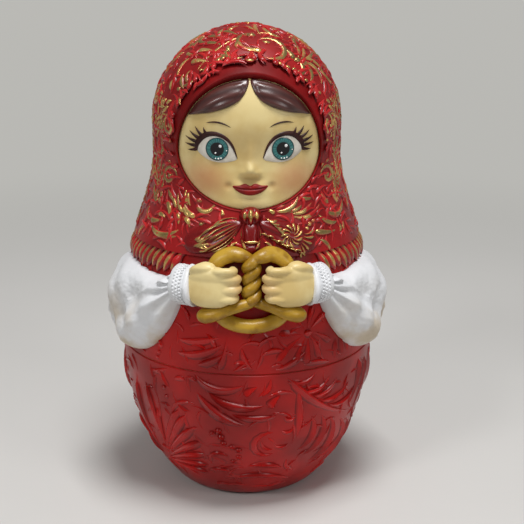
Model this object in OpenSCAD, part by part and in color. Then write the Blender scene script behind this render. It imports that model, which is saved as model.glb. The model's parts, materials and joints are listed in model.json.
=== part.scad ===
// Nesting doll: two hollow halves that part at the waist, a dressed upper half, four dolls inside.
// The origin is the middle of the foot on the table, +Z is up and the doll faces -Y.

/* [Body] */
// Height from the table to the crown of the scarf
doll_h = 250; // [200:1:300]
// Radius of the body at the waist seam
waist_r = 68.8; // [60:0.1:80]
// Height of the waist seam as a share of the doll's height
seam_ratio = 0.328; // [0.3:0.002:0.34]
// Radius of the flat foot
foot_r = 40; // [32:0.5:46]
// Rounding of the edge of the foot
foot_round = 3; // [1:0.1:5]
// Broken edge at the waist seam
seam_break = 0.6; // [0.2:0.1:1]
// Height of the shoulder line as a share of the doll's height
shoulder_ratio = 0.54; // [0.52:0.002:0.55]
// Radius of the body at the shoulder line
shoulder_r = 60.5; // [52:0.1:66]
// Radius of the head under the scarf as a share of the doll's height
head_ratio = 0.188; // [0.176:0.001:0.2]
// Straight length of the neck below the dome of the head as a share of the doll's height
neck_ratio = 0.062; // [0.04:0.002:0.08]
// Wall thickness of the outer halves
wall = 6; // [5:0.1:7.5]
// Floor thickness of the lower half
floor_t = 8; // [6:0.5:12]

/* [Waist joint] */
// Height of the loose collar that locates the halves on each other
collar_h = 18; // [12:0.5:24]
// Wall thickness of the collar
collar_t = 3; // [2:0.1:3.5]
// Running gap between the collar and each half
collar_gap = 0.08; // [0.02:0.01:0.1]
// Free space above the collar inside the upper half
collar_rise = 0.4; // [0.3:0.1:1]

/* [Headscarf] */
// Thickness of the scarf
scarf_t = 2.5; // [1.6:0.1:3]
// Height of the scarf's hem as a share of the doll's height
hem_ratio = 0.56; // [0.548:0.002:0.576]
// Width of the rolled edge round the face as a share of the head's radius
roll_ratio = 0.11; // [0.075:0.005:0.13]
// Height of the rolled edge above the head
roll_h = 4.6; // [3:0.1:6]
// Length of the fringe strands as a share of the doll's height
fringe_ratio = 0.042; // [0.03:0.002:0.048]
// Thickness of the fringe at the ridge of a strand
fringe_t = 3.4; // [2.4:0.1:4]
// Angle from the front at which the fringe begins
fringe_start = 41; // [39:0.5:46]
// Number of fringe strands
fringe_count = 51; // [40:1:56]
// Width of the knot as a share of the doll's height
knot_ratio = 0.044; // [0.036:0.001:0.052]
// Length of each scarf end from the knot as a share of the doll's height
tail_ratio = 0.124; // [0.1:0.002:0.134]
// Breadth of each scarf end as a share of its length
tail_breadth_ratio = 0.4; // [0.3:0.01:0.45]

/* [Face] */
// Width of the face as a share of the head's width
face_ratio = 0.755; // [0.68:0.005:0.8]
// Height of the middle of the face below the centre of the head as a share of its radius
drop_ratio = 0.213; // [0.15:0.001:0.25]
// Height of the forehead above the middle of the face as a share of the head's radius
forehead_ratio = 0.766; // [0.7:0.002:0.8]
// Depth of the chin below the middle of the face as a share of the head's radius
chin_ratio = 0.575; // [0.52:0.005:0.6]
// Thickness of the face in its middle
face_t = 2.6; // [2:0.1:3.5]
// Thickness of the face at its edge
face_edge = 1; // [0.6:0.1:1.5]
// Height of the nose above the face
nose_h = 3.4; // [2:0.1:5]
// Distance between the middles of the eyes as a share of the face's width
eye_gap_ratio = 0.456; // [0.4:0.002:0.5]
// Radius of an eye's glass as a share of the face's width
eye_ratio = 0.079; // [0.065:0.001:0.09]
// Height of an eye's glass
eye_h = 1.7; // [1:0.1:2.5]
// Half width of the mouth as a share of the face's width
mouth_ratio = 0.113; // [0.09:0.001:0.14]
// Thickness of lash and brow strokes
stroke_t = 0.8; // [0.5:0.1:1.2]
// Thickness of the locks of hair
hair_t = 2.4; // [1.5:0.1:3.5]

/* [Arms] */
// Height of the middle of the hands as a share of the doll's height
hand_ratio = 0.52; // [0.514:0.002:0.524]
// Length of a hand from the cuff to the finger tips as a share of the pretzel's half width
hand_l_ratio = 1.056; // [0.95:0.002:1.2]
// Half height of a hand at the cuff as a share of the doll's height
palm_ratio = 0.0332; // [0.03:0.0002:0.036]
// Thickness of a hand
hand_t = 7.4; // [6:0.1:9]
// Space between the finger tips of both hands as a share of the pretzel's half width
tip_gap_ratio = 0.437; // [0.35:0.001:0.55]
// Length of a cuff
cuff_l = 6.4; // [4.5:0.1:8]
// Half height of a cuff as a share of the half height of a hand
cuff_ratio = 1.13; // [1.05:0.01:1.18]
// Height of the middle of a cuff below the middle of the hand as a share of the half height of a hand
cuff_drop_ratio = 0.31; // [0.1:0.01:0.4]
// Thickness of a sleeve at its fullest place
sleeve_t = 9.5; // [7:0.1:12]
// Depth of the gathers in a sleeve
fold_t = 1.1; // [0:0.1:1.6]

/* [Pretzel] */
// Half height of the pretzel as a share of the doll's height
pretzel_ratio = 0.0692; // [0.064:0.0004:0.074]
// Half width of the pretzel as a share of its half height
pretzel_breadth_ratio = 1.243; // [1.15:0.001:1.3]
// Diameter of the pretzel's rope as a share of the pretzel's half height
rope_ratio = 0.393; // [0.32:0.001:0.43]

/* [Inner dolls] */
// Size of each doll against the one around it
nest_ratio = 0.76; // [0.7:0.005:0.78]
// Wall thickness of the inner dolls
inner_wall = 3.5; // [3:0.1:4]
// Floor thickness of the inner dolls
inner_floor = 5; // [4:0.1:6]
// Height of the spigot on each inner lower half
spigot_h = 7; // [5:0.5:9]
// Wall thickness of the spigot
spigot_t = 1.6; // [1.2:0.1:1.9]

/* [Seats] */
// Gap between an applied piece and what carries it
seat_gap = 0.15; // [0.1:0.01:0.25]

/* [Hidden] */
$fn = 96;

RADIAN = 180/PI;
RED = [0.62, 0.06, 0.05];
SKIN = [0.87, 0.76, 0.52];
WHITE = [0.9, 0.9, 0.88];
HAIR = [0.24, 0.1, 0.09];
CRUST = [0.72, 0.52, 0.14];
GLASS = [0.2, 0.45, 0.47];
INK = [0.2, 0.07, 0.06];

// Outline of the turned body
seam_z = doll_h*seam_ratio;
belly_h = seam_z/sqrt(1 - pow(foot_r/waist_r, 2));
shoulder_z = doll_h*shoulder_ratio;
head_r = doll_h*head_ratio;
head_z = doll_h - scarf_t - head_r;
neck_z = head_z - doll_h*neck_ratio;
shoulder_lean = -2*(waist_r - shoulder_r)/(shoulder_z - seam_z)*(neck_z - shoulder_z);
foot_steps = 4;
lower_steps = 24;
upper_steps = 30;
dome_steps = 14;

function ease(t, a, b, lean) =
    a*(1 - 3*t*t + 2*t*t*t) + lean*(t - 2*t*t + t*t*t) + b*(3*t*t - 2*t*t*t);

function body_r(z) =
    z <= seam_z ? waist_r*sqrt(1 - pow((seam_z - z)/belly_h, 2)) :
    z <= shoulder_z ? waist_r - (waist_r - shoulder_r)*pow((z - seam_z)/(shoulder_z - seam_z), 2) :
    z <= neck_z ? ease((z - shoulder_z)/(neck_z - shoulder_z), shoulder_r, head_r, shoulder_lean) :
    z <= head_z ? head_r :
    sqrt(max(0, head_r*head_r - pow(z - head_z, 2)));

function lean_at(z) = body_r(z + 0.5) - body_r(z - 0.5);

function inset_r(z, depth) = body_r(z) - depth*sqrt(1 + pow(lean_at(z), 2));

function side_points(from, to, steps, depth) =
    [for (i = [0:steps]) let (z = from + (to - from)*i/steps) [inset_r(z, depth), z]];

function dome_points(depth) =
    [for (i = [1:dome_steps]) let (a = 90*i/dome_steps)
        [(head_r - depth)*cos(a), head_z + (head_r - depth)*sin(a)]];

function upper_points(from, depth) =
    concat(side_points(from, head_z, upper_steps, depth), dome_points(depth));

// Foot and belly up to the seam, with the foot's edge rounded and the rim's edge broken
function lower_points() =
    let (edge = body_r(0), top = body_r(foot_round))
    concat([for (i = [0:foot_steps]) let (t = i/foot_steps)
               [edge - foot_round*(1 - t)*(1 - t) + (top - edge)*t*t, foot_round*t*t]],
           [for (p = side_points(foot_round, seam_z - seam_break, lower_steps, 0)) if (p[1] > foot_round) p],
           [[waist_r - seam_break, seam_z]]);

function rim_points() = concat([[waist_r - seam_break, seam_z]], upper_points(seam_z + seam_break, 0));

function reversed(list) = [for (i = [len(list) - 1:-1:0]) list[i]];

// Points on the doll: front_point is placed by the front view, side_point by the angle from the front
function front_point(x, z, lift) =
    let (r = body_r(z) + lift) [x, -sqrt(max(0.01, r*r - x*x)), z];

function side_point(angle, z, lift) =
    let (r = body_r(z) + lift) [r*sin(angle), -r*cos(angle), z];

// Curves through points chosen by hand
function curve_point(a, b, c, d, t) =
    0.5*(2*b + (c - a)*t + (2*a - 5*b + 4*c - d)*t*t + (3*b - a - 3*c + d)*t*t*t);

function closed_curve(p, parts) =
    let (n = len(p))
    [for (i = [0:n - 1], j = [0:parts - 1])
        curve_point(p[(i + n - 1)%n], p[i], p[(i + 1)%n], p[(i + 2)%n], j/parts)];

function open_curve(p, parts) =
    let (n = len(p))
    concat([for (i = [0:n - 2], j = [0:parts - 1])
        curve_point(p[max(i - 1, 0)], p[i], p[i + 1], p[min(i + 2, n - 1)], j/parts)], [p[n - 1]]);

function unit(v) = v/norm(v);

// Closed skin over rings of equal count, with one point at each end
module skin(first, rings, last) {
    n = len(rings[0]);
    m = len(rings);
    end = 1 + m*n;
    points = concat([first], [for (ring = rings) each ring], [last]);
    faces = concat(
        [for (j = [0:n - 1]) [0, 1 + j, 1 + (j + 1)%n]],
        [for (i = [0:m - 2], j = [0:n - 1])
            let (a = 1 + i*n + j, b = 1 + i*n + (j + 1)%n)
            each [[a, a + n, b], [b, a + n, b + n]]],
        [for (j = [0:n - 1]) [end, end - n + (j + 1)%n, end - n + j]]);
    polyhedron(points, faces);
}

// Swollen form on a carrying surface: place turns a point of the outline and a lift into a point in space
module pillow(edge, middle, place, seat, rim, rise, steps) {
    back = [for (i = [1:steps])
        [for (p = edge) place(middle + (p - middle)*i/steps, seat)]];
    front = [for (i = [0:steps - 1]) let (a = 90*i/steps)
        [for (p = edge) let (q = middle + (p - middle)*cos(a))
            place(q, seat + rim + (rise(q) - rim)*sin(a))]];
    skin(place(middle, seat), concat(back, front), place(middle, seat + rise(middle)));
}

// Tapered stroke on a carrying surface, along points of place coordinates and half width
module stroke(path, place) {
    rings = [for (i = [1:len(path) - 2])
        let (a = path[i - 1], b = path[i + 1], along = unit([b[0] - a[0], b[1] - a[1]]),
             across = [along[1], -along[0]], mid = [path[i][0], path[i][1]], w = path[i][2])
        [place(mid - across*w, seat_gap), place(mid + across*w, seat_gap), place(mid, seat_gap + stroke_t)]];
    ends = [for (i = [0, len(path) - 1]) place([path[i][0], path[i][1]], seat_gap + stroke_t/4)];
    skin(ends[0], rings, ends[1]);
}

// Left is the doll's own left, which is +X
module left_and_right(side) {
    mirror([side > 0 ? 0 : 1, 0, 0]) children();
}

// Two halves, and the collar in the rebates of their rims
collar_r = waist_r - wall + collar_t;
rebate_r = collar_r + collar_gap;
collar_low = seam_z - collar_h/2;
collar_top = seam_z + collar_h/2;

module lower_shell() {
    inner = side_points(floor_t, collar_low, lower_steps, wall);
    color(RED) rotate_extrude()
        polygon(concat([[0, 0]], lower_points(),
                       [[rebate_r, seam_z], [rebate_r, collar_low]], reversed(inner), [[0, floor_t]]));
}

module waist_collar() {
    color(CRUST) rotate_extrude()
        translate([waist_r - wall, collar_low]) square([collar_t, collar_h]);
}

module upper_shell() {
    ledge_z = collar_top + collar_rise;
    color(RED) rotate_extrude()
        polygon(concat([[rebate_r, seam_z]], rim_points(),
                       reversed(upper_points(ledge_z, wall)), [[rebate_r, ledge_z]]));
}

// Face: an egg-shaped outline in the front view, with its forms as lifts above the head
face_w = 2*head_r*face_ratio;
face_z = head_z - head_r*drop_ratio;
forehead_h = head_r*forehead_ratio;
chin_h = head_r*chin_ratio;
nose_z = face_z - chin_h*0.28;
nose_w = face_w*0.05;
nose_l = chin_h*0.17;
mouth_w = face_w*mouth_ratio;
mouth_z = face_z - chin_h*0.59;
eye_gap = face_w*eye_gap_ratio;
eye_r = face_w*eye_ratio;
eye_z = face_z + forehead_h*0.07;
cheek_x = face_w*0.25;
cheek_z = face_z - chin_h*0.44;
cheek_r = face_w*0.127;
cheek_h = 0.7;
chin_z = face_z - chin_h*0.85;
chin_w = face_w*0.113;
chin_l = chin_h*0.17;
chin_swell = 0.9;
face_parts = 40;
face_rings = 9;

function face_edge_point(angle, grow) =
    [(face_w/2 + grow)*cos(angle),
     face_z + ((angle < 180 ? forehead_h : chin_h) + grow)*sin(angle)];

function hump(x, z, wide, tall) = exp(-pow(x/wide, 2) - pow(z/tall, 2));

function face_lift(x, z) =
    let (share = min(1, norm([2*x/face_w, (z - face_z)/(z > face_z ? forehead_h : chin_h)])))
    seat_gap + face_edge + (face_t - face_edge)*sqrt(1 - share*share)
    + nose_h*hump(x, z - nose_z, nose_w, nose_l)
    + cheek_h*hump(abs(x) - cheek_x, z - cheek_z, cheek_r, cheek_r)
    + chin_swell*hump(x, z - chin_z, chin_w, chin_l);

on_face = function (p, lift) front_point(p[0], p[1], face_lift(p[0], p[1]) + lift);

module face_plate() {
    back = [for (i = [1:face_rings])
        [for (j = [0:face_parts - 1])
            let (p = face_edge_point(360*j/face_parts, 0), q = [0, face_z] + (p - [0, face_z])*i/face_rings)
            front_point(q[0], q[1], seat_gap)]];
    front = [for (i = [face_rings:-1:1])
        [for (j = [0:face_parts - 1])
            let (p = face_edge_point(360*j/face_parts, 0), q = [0, face_z] + (p - [0, face_z])*i/face_rings)
            on_face(q, 0)]];
    color(SKIN) skin(front_point(0, face_z, seat_gap), concat(back, front), on_face([0, face_z], 0));
}

module eye(side) {
    ball_r = (eye_r*eye_r + eye_h*eye_h)/(2*eye_h);
    turn = asin(eye_gap/2/(body_r(eye_z) + face_t));
    color(GLASS) left_and_right(side)
        translate(on_face([eye_gap/2, eye_z], 2*seat_gap)) rotate([90, 0, turn])
            intersection() {
                translate([0, 0, eye_h - ball_r]) sphere(ball_r);
                cylinder(r = eye_r, h = eye_h);
            }
}

lash_count = 7;
lid_w = eye_r*1.71;
lid_h = eye_r*1.18;
lash_gap = eye_r*0.29;
lash_l = eye_r*0.96;

// The lid line arches over the eye, and the lashes fan out from its outer half
module lashes(side) {
    lid_x = eye_gap/2 + eye_r*0.05;
    lid_z = eye_z - eye_r*0.1;
    function lid(angle, out) = [lid_x + (lid_w + out)*cos(angle), lid_z + (lid_h + out)*sin(angle)];
    lid_path = [for (i = [0:10]) let (p = lid(175 - 16.5*i, 0)) [p[0], p[1], eye_r*(0.045 + 0.0135*i)]];
    color(INK) left_and_right(side) {
        stroke(lid_path, on_face);
        for (i = [0:lash_count - 1]) {
            angle = 8 + 15*i;
            long = lash_l*(1 - 0.083*i);
            base = lid(angle, lash_gap);
            mid = lid(angle - 1, lash_gap + long*0.55);
            tip = lid(angle - 7, lash_gap + long);
            stroke([[base[0], base[1], 0], [(base[0] + mid[0])/2, (base[1] + mid[1])/2, lash_gap*0.25],
                    [mid[0], mid[1], lash_gap*0.19], [tip[0], tip[1], 0]], on_face);
        }
    }
}

brow_z = face_z + forehead_h*0.4;
brow_l = face_w*0.18;

module brow(side) {
    path = open_curve([for (p = [[0.5, -0.11, 0], [0.77, 0.03, 0.035], [1.12, 0.1, 0.035], [1.5, 0.05, 0]])
        [p[0]*brow_l, brow_z + p[1]*brow_l, p[2]*brow_l]], 3);
    color(INK) left_and_right(side) stroke(path, on_face);
}

module lips() {
    edge = [for (p = closed_curve([[1, 0.11], [0.45, 0.31], [0, 0.2], [-0.45, 0.31], [-1, 0.11],
                                   [-0.5, -0.25], [0, -0.36], [0.5, -0.25]], 3))
        [p[0]*mouth_w, mouth_z + p[1]*mouth_w]];
    lip_rise = function (p) 1.6 - 0.7*hump(0, p[1] - mouth_z, 1, mouth_w*0.1);
    color([0.6, 0.05, 0.05]) pillow(edge, [0, mouth_z], on_face, 2*seat_gap, 0.2, lip_rise, 4);
}

// Locks of hair: from the parting along the rolled edge to the temple, inside the face's outline
module hair(side) {
    under = 0.975;
    brim = [for (i = [0:7]) let (p = face_edge_point(88.5 - 8.6*i, 0))
        [p[0]*under, face_z + (p[1] - face_z)*under]];
    fall = [for (p = [[0.85, 0.46], [0.68, 0.47], [0.5, 0.53], [0.3, 0.65], [0.12, 0.8]])
        [p[0]*face_w/2, face_z + p[1]*forehead_h]];
    edge = reversed(closed_curve(concat(brim, fall), 2));
    lock_rise = function (p) hair_t;
    color(HAIR) left_and_right(side)
        pillow(edge, [face_w*0.25, face_z + forehead_h*0.69], on_face, 2*seat_gap, 0.5, lock_rise, 5);
}

// Headscarf: a layer over head and shoulders with an opening for the face and its rolled edge
roll_w = head_r*roll_ratio;
hem_z = doll_h*hem_ratio;
fringe_l = doll_h*fringe_ratio;

module headscarf() {
    opening = [for (j = [0:71]) face_edge_point(5*j, roll_w)];
    color(RED) difference() {
        rotate_extrude()
            polygon(concat(upper_points(hem_z, -scarf_t), reversed(upper_points(hem_z, -seat_gap))));
        rotate([90, 0, 0]) linear_extrude(2*waist_r) polygon(opening);
    }
}

module scarf_roll() {
    sides = 10;
    parts = 60;
    sections = [for (i = [0:parts - 1])
        [for (j = [0:sides - 1])
            let (a = -360*j/sides, gap = seat_gap,
                 p = face_edge_point(360*i/parts, roll_w/2 + (roll_w/2 - gap)*cos(a)),
                 lift = gap + (roll_h - gap)*(0.5 + 0.5*sin(a)))
            front_point(p[0], p[1], lift)]];
    points = [for (s = sections) each s];
    faces = [for (i = [0:parts - 1], j = [0:sides - 1])
        let (a = i*sides + j, b = i*sides + (j + 1)%sides,
             c = ((i + 1)%parts)*sides + j, d = ((i + 1)%parts)*sides + (j + 1)%sides)
        each [[a, c, b], [b, c, d]]];
    color(RED) polyhedron(points, faces);
}

// Fringe: slanted strands side by side below the hem, over the shoulders and round the back
fringe_slant = 4;

module scarf_fringe() {
    span = 360 - 2*fringe_start;
    marks = 4*fringe_count;
    levels = 3;
    function strand(i) = abs(sin(180*i/4 + 90));
    function angle(i, k) = fringe_start + span*i/marks + fringe_slant*k/levels*(1 - 2*i/marks);
    rings = [for (i = [0:marks])
        let (ridge = fringe_t*(0.55 + 0.45*(1 - pow(strand(i), 2))))
        concat([for (k = [0:levels])
                   side_point(angle(i, k), hem_z - seat_gap - fringe_l*k/levels, seat_gap)],
               [for (k = [levels:-1:0])
                   side_point(angle(i, k), hem_z - seat_gap - fringe_l*k/levels,
                              ridge*(k == 0 ? 0.85 : k == levels ? 0.7 : 1))])];
    first = side_point(angle(0, levels/2), hem_z - fringe_l/2, fringe_t/4);
    last = side_point(angle(marks, levels/2), hem_z - fringe_l/2, fringe_t/4);
    color(RED) skin(first, rings, last);
}

// Knot on the rolled edge under the chin, and the two ends of the scarf below it
function scarf_lift(z) = scarf_t*sqrt(1 + pow(lean_at(z), 2)) + seat_gap;

on_scarf = function (p, lift) front_point(p[0], p[1], scarf_lift(p[1]) + lift);
on_roll = function (p, lift) front_point(p[0], p[1], roll_h + lift);
knot_w = doll_h*knot_ratio;
knot_h = knot_w*0.8;
knot_z = face_z - chin_h - roll_w/2;
knot_t = 2.8;
knot_fold = 0.7;
tail_l = doll_h*tail_ratio;
tail_w = tail_l*tail_breadth_ratio;
tail_t = 2.6;
tail_turn = -24;

module scarf_knot() {
    edge = [for (j = [0:23]) [knot_w/2*cos(15*j)*(0.85 + 0.15*pow(cos(15*j), 2)),
                              knot_z + knot_h/2*sin(15*j)]];
    knot_rise = function (p) knot_t + knot_fold*cos(1080*p[0]/knot_w);
    color(RED) pillow(edge, [0, knot_z], on_roll, seat_gap, 0.4, knot_rise, 5);
}

module scarf_tail(side) {
    start = [knot_w*0.36, knot_z - roll_w/2 - seat_gap*5];
    along = [cos(tail_turn), sin(tail_turn)];
    across = [-along[1], along[0]];
    edge = [for (p = closed_curve([[0, 0], [0.3, -0.42], [0.72, -0.5], [1, -0.2], [0.95, 0.3], [0.6, 0.5],
                                   [0.25, 0.34]], 4))
        start + p[0]*tail_l*along + p[1]*tail_w*across];
    middle = start + tail_l*0.55*along;
    tail_rise = function (p) tail_t;
    color(RED) left_and_right(side) pillow(edge, middle, on_scarf, seat_gap, 0.4, tail_rise, 5);
}

// Arms: a hand in front of the pretzel, then its cuff, then the sleeve round to the side of the body
hand_z = doll_h*hand_ratio;
hand_w = doll_h*palm_ratio;
arm_r = body_r(hand_z);
pretzel_h = doll_h*pretzel_ratio;
pretzel_w = pretzel_h*pretzel_breadth_ratio;
pretzel_z = hand_z - hand_w*0.48;
rope_d = pretzel_h*rope_ratio;
hand_l = pretzel_w*hand_l_ratio;
tip_gap = pretzel_w*tip_gap_ratio;
hand_base = rope_d + 3*seat_gap;
hand_end = tip_gap/2 + hand_l;
cuff_start = hand_end + seat_gap;
cuff_end = cuff_start + cuff_l;
cuff_w = hand_w*cuff_ratio;
cuff_drop = hand_w*cuff_drop_ratio;
cuff_z = hand_z - cuff_drop;

function arm_angle(reach) = reach/arm_r*RADIAN;

// What lies on the dress steps over the scarf's hem
hem_step = 7.5;

function cover(z) = scarf_lift(z)*min(1, max(0, (z - hem_z + hem_step)/(hem_step - 1)));

function arm_point(angle, z, lift) = side_point(angle, z, lift + cover(z));

on_dress = function (p, lift) arm_point(p[0], p[1], lift);

// Section of an arm piece across its length: flat behind, round in front, with three grooves between fingers
arm_parts = 24;

function arm_section(reach, z, half, base, thick, groove, notch) =
    concat([for (j = [arm_parts:-1:0])
               let (a = 180*j/arm_parts, between = pow(cos(360*cos(a)), 2)*sin(a))
               arm_point(arm_angle(reach + notch*between), z - half*cos(a),
                         base + thick*(0.16 + 0.84*(1 - groove*between)*sin(a)))],
           [for (j = [1:3]) arm_point(arm_angle(reach), z - half + half*j/2, base)]);

module arm_piece(stations) {
    rings = [for (s = stations) arm_section(s[0], s[1], s[2], s[3], s[4], s[5], s[6])];
    first = stations[0];
    last = stations[len(stations) - 1];
    skin(arm_point(arm_angle(first[0] + first[6]), first[1], first[3] + first[4]/2), rings,
         arm_point(arm_angle(last[0]), last[1], last[3] + last[4]/2));
}

module hand(side) {
    tip = tip_gap/2;
    stations = [[tip, hand_z, hand_w*0.6, hand_base + hand_t*0.2, hand_t*0.4, 0.2, 2.2],
                [tip + 0.8, hand_z, hand_w*0.72, hand_base + hand_t*0.06, hand_t*0.75, 0.3, 1.8],
                [tip + 3, hand_z, hand_w*0.77, hand_base, hand_t, 0.32, 0.6],
                [tip + 7, hand_z, hand_w*0.82, hand_base, hand_t*1.08, 0.28, 0],
                [tip + 10, hand_z, hand_w*0.92, hand_base, hand_t*1.06, 0.12, 0],
                [tip + 16, hand_z, hand_w, hand_base, hand_t*0.98, 0.02, 0],
                [hand_end, hand_z - cuff_drop/3, hand_w*0.92, hand_base, hand_t*0.8, 0, 0]];
    color(SKIN) left_and_right(side) arm_piece(stations);
}

module cuff(side) {
    thick = hand_base + hand_t*0.95;
    stations = [[cuff_start, cuff_z, cuff_w*0.92, seat_gap, thick, 0, 0],
                [cuff_start + cuff_l*0.15, cuff_z, cuff_w, seat_gap, thick*1.06, 0.03, 0],
                [cuff_start + cuff_l*0.85, cuff_z, cuff_w, seat_gap, thick*1.03, 0.03, 0],
                [cuff_end, cuff_z, cuff_w*0.95, seat_gap, thick*0.92, 0, 0]];
    color(WHITE) left_and_right(side) arm_piece(stations);
}

// Sleeve: outline in degrees from the cuff and shares of its height, gathered towards the cuff
sleeve_clear = 3;

module sleeve(side) {
    cuff_angle = arm_angle(cuff_end + seat_gap);
    low_z = seam_z + sleeve_clear;
    top_z = hem_z - fringe_l - 2*seat_gap;
    tall = top_z - low_z;
    outer = [for (p = [[6, 0.385], [17, 0.09], [31, 0], [51, 0.09], [66, 0.32], [70, 0.61], [66, 0.91],
                       [51, 0.99], [33, 0.99], [19, 0.966], [8, 0.99]])
        [cuff_angle + p[0], low_z + p[1]*tall]];
    at_cuff = [for (share = [0.75, -0.3]) [cuff_angle, cuff_z + cuff_w*share]];
    outline = closed_curve(concat([[cuff_angle, cuff_z - cuff_w]], outer, at_cuff), 3);
    edge = [for (p = outline) [max(p[0], cuff_angle), p[1]]];
    middle = [cuff_angle + 33, (low_z + top_z)/2];
    fullness = function (p)
        let (from_cuff = p[0] - cuff_angle, ray = atan2(p[1] - cuff_z, from_cuff))
        sleeve_t + (hand_base + hand_t - sleeve_t)*exp(-pow(from_cuff/14, 2))
        + fold_t*sin(9*ray)*exp(-pow((from_cuff - 16)/18, 2));
    color(WHITE) left_and_right(side) pillow(reversed(edge), middle, on_dress, 3*seat_gap, 1, fullness, 6);
}

// Pretzel: one rope from end to end, twisted round itself in the middle, its ends pressed on its own bow
rope_gap = 0.45;
twist_d = rope_d*0.68;
end_d = rope_d*0.8;
low = rope_d/2 + seat_gap;
twist_r = (twist_d + rope_gap)/2;
twist_lift = seat_gap + twist_d/2 + twist_r;
on_bow = rope_d + seat_gap + rope_gap + end_d*0.55;

// The two strands of the twist run half a turn of a double helix between the two crossings
function twist_point(i, turn) =
    let (a = 45*i - 90)
    [twist_r*cos(a), pretzel_h*(0.1525*i - 0.05), twist_lift + turn*twist_r*sin(a), twist_d];

// Half of the rope from its end to the bow: across, up, lift, diameter
function half_rope(turn) = concat(
    [[-pretzel_w*0.98, -pretzel_h*0.64, on_bow - 1, end_d*0.75],
     [-pretzel_w*0.82, -pretzel_h*0.58, on_bow, end_d*1.1],
     [-pretzel_w*0.62, -pretzel_h*0.5, on_bow*0.92, end_d],
     [-pretzel_w*0.3, -pretzel_h*0.36, (twist_lift - turn*twist_r + on_bow)/2, end_d*0.88]],
    [for (i = [0:4]) twist_point(i, turn)],
    [[-pretzel_w*0.2, pretzel_h*0.84, max(low, twist_lift + turn*twist_r*0.8), rope_d*0.85],
     [-pretzel_w*0.42, pretzel_h, low, rope_d],
     [-pretzel_w*0.75, pretzel_h*0.92, low, rope_d],
     [-pretzel_w*0.97, pretzel_h*0.55, low, rope_d],
     [-pretzel_w, pretzel_h*0.1, low, rope_d],
     [-pretzel_w*0.9, -pretzel_h*0.42, low, rope_d],
     [-pretzel_w*0.55, -pretzel_h*0.85, low, rope_d]]);

module pretzel() {
    sides = 10;
    far_half = [for (p = reversed(half_rope(-1))) [-p[0], p[1], p[2], p[3]]];
    path = open_curve(concat(half_rope(1), [[0, -pretzel_h, low, rope_d]], far_half), 3);
    centres = [for (p = path) [p[0], p[1], p[2]]];
    count = len(path);
    rope_point = function (p) arm_point(p[0]/body_r(pretzel_z)*RADIAN, pretzel_z + p[1], p[2]);
    rings = [for (i = [0:count - 1])
        let (along = unit(centres[min(i + 1, count - 1)] - centres[max(i - 1, 0)]),
             across = unit(cross(along, [0, 0, 1])), up = cross(along, across), r = path[i][3]/2)
        [for (j = [0:sides - 1]) let (a = 360*j/sides)
            rope_point(centres[i] + r*cos(a)*across + r*sin(a)*up)]];
    first_out = unit(centres[0] - centres[1])*path[0][3]*0.3;
    last_out = unit(centres[count - 1] - centres[count - 2])*path[count - 1][3]*0.3;
    color(CRUST) skin(rope_point(centres[0] + first_out), rings, rope_point(centres[count - 1] + last_out));
}

// Inner dolls: the same body at smaller sizes, each standing on the floor of the one around it
function nest_scale(k) = pow(nest_ratio, k - 1);

function nest_base(k) = k == 1 ? 0 : nest_base(k - 1) + (k == 2 ? floor_t : inner_floor);

function nested(points, k) = [for (p = points) [p[0]*nest_scale(k), p[1]*nest_scale(k) + nest_base(k)]];

function nest_seam(k) = seam_z*nest_scale(k) + nest_base(k);

function spigot_r(k) = waist_r*nest_scale(k) - inner_wall + spigot_t;

module inner_lower(k) {
    s = nest_scale(k);
    outside = nested(lower_points(), k);
    inside = nested(side_points(inner_floor/s, seam_z, lower_steps, inner_wall/s), k);
    bore_r = waist_r*s - inner_wall;
    color(RED) rotate_extrude()
        polygon(concat([[0, nest_base(k)]], outside,
                       [[spigot_r(k), nest_seam(k)], [spigot_r(k), nest_seam(k) + spigot_h],
                        [bore_r, nest_seam(k) + spigot_h]],
                       reversed(inside), [[0, nest_base(k) + inner_floor]]));
}

module inner_upper(k) {
    s = nest_scale(k);
    ledge = spigot_h + collar_rise;
    outside = nested(rim_points(), k);
    inside = nested(upper_points(seam_z + ledge/s, inner_wall/s), k);
    socket_r = spigot_r(k) + collar_gap;
    color(RED) rotate_extrude()
        polygon(concat([[socket_r, nest_seam(k)]], outside, reversed(inside),
                       [[socket_r, nest_seam(k) + ledge]]));
}

module inner_solid(k) {
    color(RED) rotate_extrude()
        polygon(concat([[0, nest_base(k)]], nested(lower_points(), k), nested(upper_points(seam_z, 0), k)));
}

lower_shell();
waist_collar();
upper_shell();
headscarf();
scarf_roll();
scarf_fringe();
scarf_knot();
scarf_tail(1);  // scarf_tail_left
scarf_tail(-1);  // scarf_tail_right
face_plate();
eye(1);  // eye_left
eye(-1);  // eye_right
lashes(1);  // lashes_left
lashes(-1);  // lashes_right
brow(1);  // brow_left
brow(-1);  // brow_right
lips();
hair(1);  // hair_left
hair(-1);  // hair_right
sleeve(1);  // sleeve_left
sleeve(-1);  // sleeve_right
cuff(1);  // cuff_left
cuff(-1);  // cuff_right
hand(1);  // hand_left
hand(-1);  // hand_right
pretzel();
inner_lower(2);  // doll_2_lower
inner_upper(2);  // doll_2_upper
inner_lower(3);  // doll_3_lower
inner_upper(3);  // doll_3_upper
inner_lower(4);  // doll_4_lower
inner_upper(4);  // doll_4_upper
inner_solid(5);  // doll_5
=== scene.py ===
import json
import math

import bmesh
import bpy
import numpy as np
from mathutils import Matrix, Vector, noise

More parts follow.
